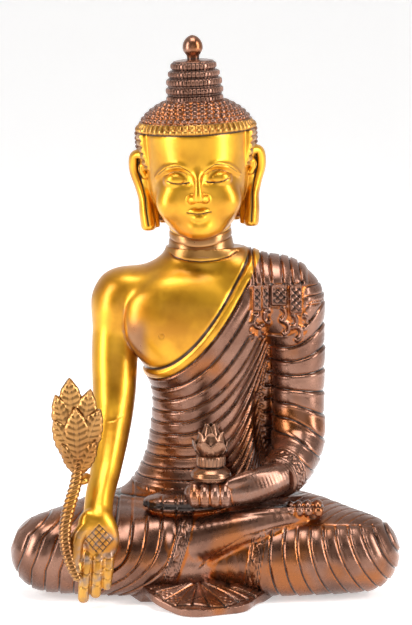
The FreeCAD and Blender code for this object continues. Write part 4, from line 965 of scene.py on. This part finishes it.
phase = angle / (2 * np.pi) * np.maximum(row_count, 1)
tooth = scallop(phase)
cut = np.clip((1 - tooth) * 1.3 - 0.3, 0, 1) * nick
radius = radius - 0.55 * cut - 0.35 * between
knot_spigot = 4.2
foot = (knot_x + knot_half_height * math.sin(head_lean), knot_y, knot_low[2] + knot_spigot)
cast("hair_knot", leaned(radius, level, angle, foot), faces, "hair_knot",
     np.clip(cut + 0.8 * between, 0, 1))

# ---- Jewel ---------------------------------------------------------------------------------------
# A turned brass ball on a short stem, lacquered copper brown like the hair, with a tenon pushed
# into the top of the knot.
_, _, _, (jewel_radius, _, _) = box_of("finial")
profile = [(2.3, -0.6), (2.2, 0.4)]
for s in np.linspace(-0.75, math.pi / 2, 26):
    neck_in = 0.35 * ease(-s, 0.2, 0.75)
    profile.append((jewel_radius * math.cos(s) - neck_in + 0.01,
                    jewel_radius * (1 + math.sin(s)) + 0.7 + 0.8 * s / 1.57))
radius, level, angle, faces = turned(profile, 72, 0)
knot_height = base + 0.8
top_of_knot = (foot[0] - knot_height * math.sin(head_lean), knot_y,
               foot[2] + knot_height * math.cos(head_lean))
cast("jewel", leaned(radius, level, angle, top_of_knot), faces, "finial", (level < 0.5) * 0.7)

# ---- Medicine bowl -------------------------------------------------------------------------------
# A small turned brass bowl with a fluted neck and two cut lines round its belly. It stands on a
# stud in the palm.
profile = through([(3.6, -0.4), (5.4, 0.0), (6.7, 0.7), (7.4, 1.9), (7.0, 3.4), (5.6, 4.8), (4.9, 5.4),
                   (5.2, 6.0), (5.3, 7.4), (5.3, 8.8), (4.7, 9.5), (3.0, 9.8)], 60)
radius, level, angle, faces = turned(profile, 200, palm_top)
lift = level - palm_top
collar = ease(lift, 5.4, 6.0) * ease(lift, 9.4, 8.8)
flute_count = 22
phase = angle / (2 * np.pi) * flute_count
tooth = scallop(phase)
cut = np.clip((1 - tooth) * 1.3 - 0.3, 0, 1) * collar + stroke(lift - 5.3, 0.3)
for ring_z in (1.2, 2.6):
    cut = cut + 0.6 * stroke(lift - ring_z, 0.22)
cut = np.clip(cut, 0, 1)
radius = radius - 0.35 * cut
points = np.stack([bowl_x + radius * np.cos(angle), bowl_y + radius * np.sin(angle), level],
                  -1).reshape(-1, 3)
cast("medicine_bowl", points, faces, "medicine_bowl", cut, gold=0.06)

# ---- Bud -----------------------------------------------------------------------------------------
# A casting like an opening bud: two rows of pointed leaves round a pointed heart, stood in the
# bowl's mouth.
bud_foot = bowl_high[2] - 0.6


def shell_faces(rows, across):
    """Faces of a thin leaf: its front grid of points, its back one, and the edge that joins them."""
    index = np.arange(rows * across).reshape(rows, across)
    a, b, c, d = index[:-1, :-1], index[1:, :-1], index[1:, 1:], index[:-1, 1:]
    outer = np.stack([a, d, c, b], -1).reshape(-1, 4)
    inner = np.stack([a, b, c, d], -1).reshape(-1, 4) + rows * across
    loop = np.concatenate([index[0, :-1], index[:-1, -1], index[-1, :0:-1], index[:0:-1, 0]])
    rim = np.stack([np.roll(loop, -1), loop, loop + rows * across, np.roll(loop, -1) + rows * across], -1)
    return np.concatenate([outer, inner, rim])


def leaf_shell(foot, heading, half_width, tall, flare, thick):
    """One pointed leaf: a curved shell standing on foot, its tip bent outwards."""
    rows, across = 15, 11
    s, t = np.meshgrid(np.linspace(0, 1, rows), np.linspace(-1, 1, across), indexing="ij")
    width = half_width * np.clip(np.sin(np.pi * (0.14 + 0.86 * s)) ** 0.8, 0.02, 1)
    side = width * t
    out = 1.2 + 1.7 * np.sin(np.pi * np.clip(s * 1.15, 0, 1)) + flare * s ** 2.2 - 0.07 * side ** 2
    up = tall * s * (1 - 0.08 * s) - 0.05 * side ** 2
    vein = stroke(t, 0.16)
    layers = []
    for face_out in (0.5, -0.5):
        reach = out + thick * face_out * (1 - 0.6 * np.abs(t) ** 3) + (0.25 * vein if face_out > 0 else 0)
        layers.append(np.stack([foot[0] + reach * math.cos(heading) - side * math.sin(heading),
                                foot[1] + reach * math.sin(heading) + side * math.cos(heading),
                                foot[2] + up], -1))
    points = np.concatenate([layer.reshape(-1, 3) for layer in layers])
    edge = np.clip(np.abs(t) * 1.4 - 0.75, 0, 1) * 0.5 + 0.5 * stroke(np.abs(t) - 0.35, 0.12) * (1 - s)
    return points, shell_faces(rows, across), np.concatenate([edge.ravel(), np.full(edge.size, 0.6)])


def gather(parts):
    points, faces, cuts, start = [], [], [], 0
    for one_points, one_faces, one_cut in parts:
        points.append(one_points)
        faces.append(one_faces + start)
        cuts.append(one_cut)
        start += len(one_points)
    return np.concatenate(points), np.concatenate(faces), np.concatenate(cuts)


shells = []
for count, half_width, tall, flare, offset, ring in (
        (6, 4.0, 7.0, 3.6, 0.5, 2.3), (6, 4.0, 9.8, 1.9, 0.0, 1.6), (5, 3.6, 12.8, 0.2, 0.5, 0.5)):
    for k in range(count):
        heading = 2 * math.pi * (k + offset) / count - math.pi / 2
        foot_point = (bowl_x + ring * math.cos(heading), bowl_y + ring * math.sin(heading), bud_foot)
        shells.append(leaf_shell(foot_point, heading, half_width, tall, flare, 0.8))
points, faces, cut = gather(shells)
cast("bud", points, faces, "bowl_bud", cut, gold=0.05)

# ---- Sprig stem ----------------------------------------------------------------------------------
# A ribbed stem brazed to the fingers and the wrist. The blob of braze at the wrist is left rough.
SPRIG_STEP = 0.24
p = clay_block((-55, -42, 9.5), (-41, -25, 58), SPRIG_STEP)
stem_path = [(-46.0, -37.4, 12.6, 1.5), (-48.0, -37.4, 17.0, 1.9), (-49.8, -37.2, 23.5, 2.1),
             (-50.2, -36.8, 30.0, 2.15),
             (-48.8, -35.4, 37.5, 2.15), (-46.4, -33.4, 46.0, 2.1), (-45.2, -31.9, 54.5, 1.9)]
stem = limb(p, stem_path, 45)
points, quads, normals, (x, y, z) = surface(stem, p, SPRIG_STEP)
wrap, cut = pleat((z - 0.35 * (x + 48)) / 1.55, 0.15)
points = points + normals * (0.4 * wrap - 0.25 * cut)[:, None]
cast("sprig_stem", points, quads, "sprig_stem", cut * 0.8, 0.32, hollowness(points, quads, 3))
p = clay_block((-49, -35, 42), (-40, -22, 52), SPRIG_STEP)
blob = blend(ball(p, (-44.2, -30.0, 46.6), (2.6, 2.4, 1.7)),
             ball(p, (-43.0, -28.0, 47.6), (1.8, 1.9, 1.2)), 0.8)
points, quads = skin(blob, p, SPRIG_STEP)
cast("braze_blob", points, quads, "sprig_stem", 0.3, 0.6, hollowness(points, quads, 3))

# ---- Leaf spray ----------------------------------------------------------------------------------
# Eight scalloped leaflets cast in one flat spray, each with a raised midrib and slanting veins.
def leaflet(foot, tip, half_width, forward, bow):
    """One leaflet from foot to tip, given as (x, z), its face turned to the front."""
    rows, across = 56, 21
    s, t = np.meshgrid(np.linspace(0, 1, rows), np.linspace(-1, 1, across), indexing="ij")
    along = np.array(tip, float) - np.array(foot, float)
    length = np.linalg.norm(along)
    ahead = along / length
    beside = np.array([ahead[1], -ahead[0]])
    lobes = 1 + 0.10 * np.abs(np.sin(np.pi * s * 5.5)) - 0.05
    width = half_width * np.clip(np.sin(np.pi * np.clip(0.08 + 0.92 * s, 0, 1)) ** 0.75, 0.03, 1) * lobes
    curve = bow * np.sin(np.pi * s)
    x = foot[0] + ahead[0] * length * s + beside[0] * (width * t + curve)
    z = foot[1] + ahead[1] * length * s + beside[1] * (width * t + curve)
    slant = s * length / 2.1 - np.abs(t) * 0.95
    vein = scallop(slant, 2)
    rib = stroke(t, 0.13)
    puff = 1.15 * (1 - np.abs(t) ** 2.2) + 0.32 * vein * (1 - rib) * (1 - np.abs(t) ** 6) + 0.4 * rib
    front = np.stack([x, forward - puff * ease(s, 0, 0.1) - 0.25, z], -1)
    back = np.stack([x, forward + 0.35 + 0.3 * (1 - np.abs(t)), z], -1)
    points = np.concatenate([front.reshape(-1, 3), back.reshape(-1, 3)])
    furrow = np.clip((1 - vein) * 2.2 - 1.5, 0, 1) * (1 - rib) * 0.75 + 0.5 * stroke(np.abs(t) - 0.2, 0.05)
    furrow = furrow + 0.8 * ease(np.abs(t), 0.9, 1.0)
    return points, shell_faces(rows, across), np.concatenate([np.clip(furrow, 0, 1).ravel(),
                                                              np.zeros(x.size)])


LEAFLETS = (
    ((-47.6, 62.0), (-48.6, 84.0), 5.0, -30.6, 0.0), ((-44.0, 60.0), (-41.0, 80.0), 4.4, -31.0, -0.5),
    ((-48.6, 59.0), (-53.6, 78.0), 4.2, -31.1, 0.6), ((-43.4, 55.0), (-37.6, 73.0), 4.7, -31.9, -1.2),
    ((-47.4, 54.0), (-54.2, 69.0), 4.4, -31.9, 1.2), ((-45.4, 53.6), (-46.4, 73.6), 4.8, -32.8, 0.0),
    ((-44.8, 50.0), (-38.9, 61.6), 3.4, -32.5, -0.8), ((-46.0, 50.0), (-51.4, 60.4), 3.2, -32.5, 0.8))
points, faces, cut = gather([leaflet(*each) for each in LEAFLETS])
cast("leaf_spray", points, faces, "sprig_leaves", cut, gold=0.36)

# ---- Plate, screws and pins ----------------------------------------------------------------------
# The sheet that closes the figure underneath, its four countersunk screws, and the pins and
# cotters of the joints, all plain filed brass.
filed = bpy.data.materials.new("filed_brass")
filed.use_nodes = True
nodes, links = filed.node_tree.nodes, filed.node_tree.links
shader = nodes["Principled BSDF"]
fill(shader, Metallic=1.0)
grain = nodes.new("ShaderNodeTexNoise")
fill(grain, Scale=180, Detail=5)
place = nodes.new("ShaderNodeTexCoord")
stretch = nodes.new("ShaderNodeMapping")
fill(stretch, Scale=(1, 14, 1))
links.new(place.outputs["Object"], stretch.inputs["Vector"])
links.new(stretch.outputs["Vector"], grain.inputs["Vector"])
tone = nodes.new("ShaderNodeValToRGB")
tone.color_ramp.elements[0].color = (0.42, 0.27, 0.10, 1)
tone.color_ramp.elements[1].color = (0.70, 0.48, 0.20, 1)
links.new(grain.outputs["Fac"], tone.inputs["Fac"])
links.new(tone.outputs["Color"], shader.inputs["Base Color"])
fill(shader, Roughness=0.38)
for name in ("base_plate", "base_screws", "waist_pins", "arm_cotters", "neck_pin"):
    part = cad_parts[name]
    part.data.materials.clear()
    part.data.materials.append(filed)
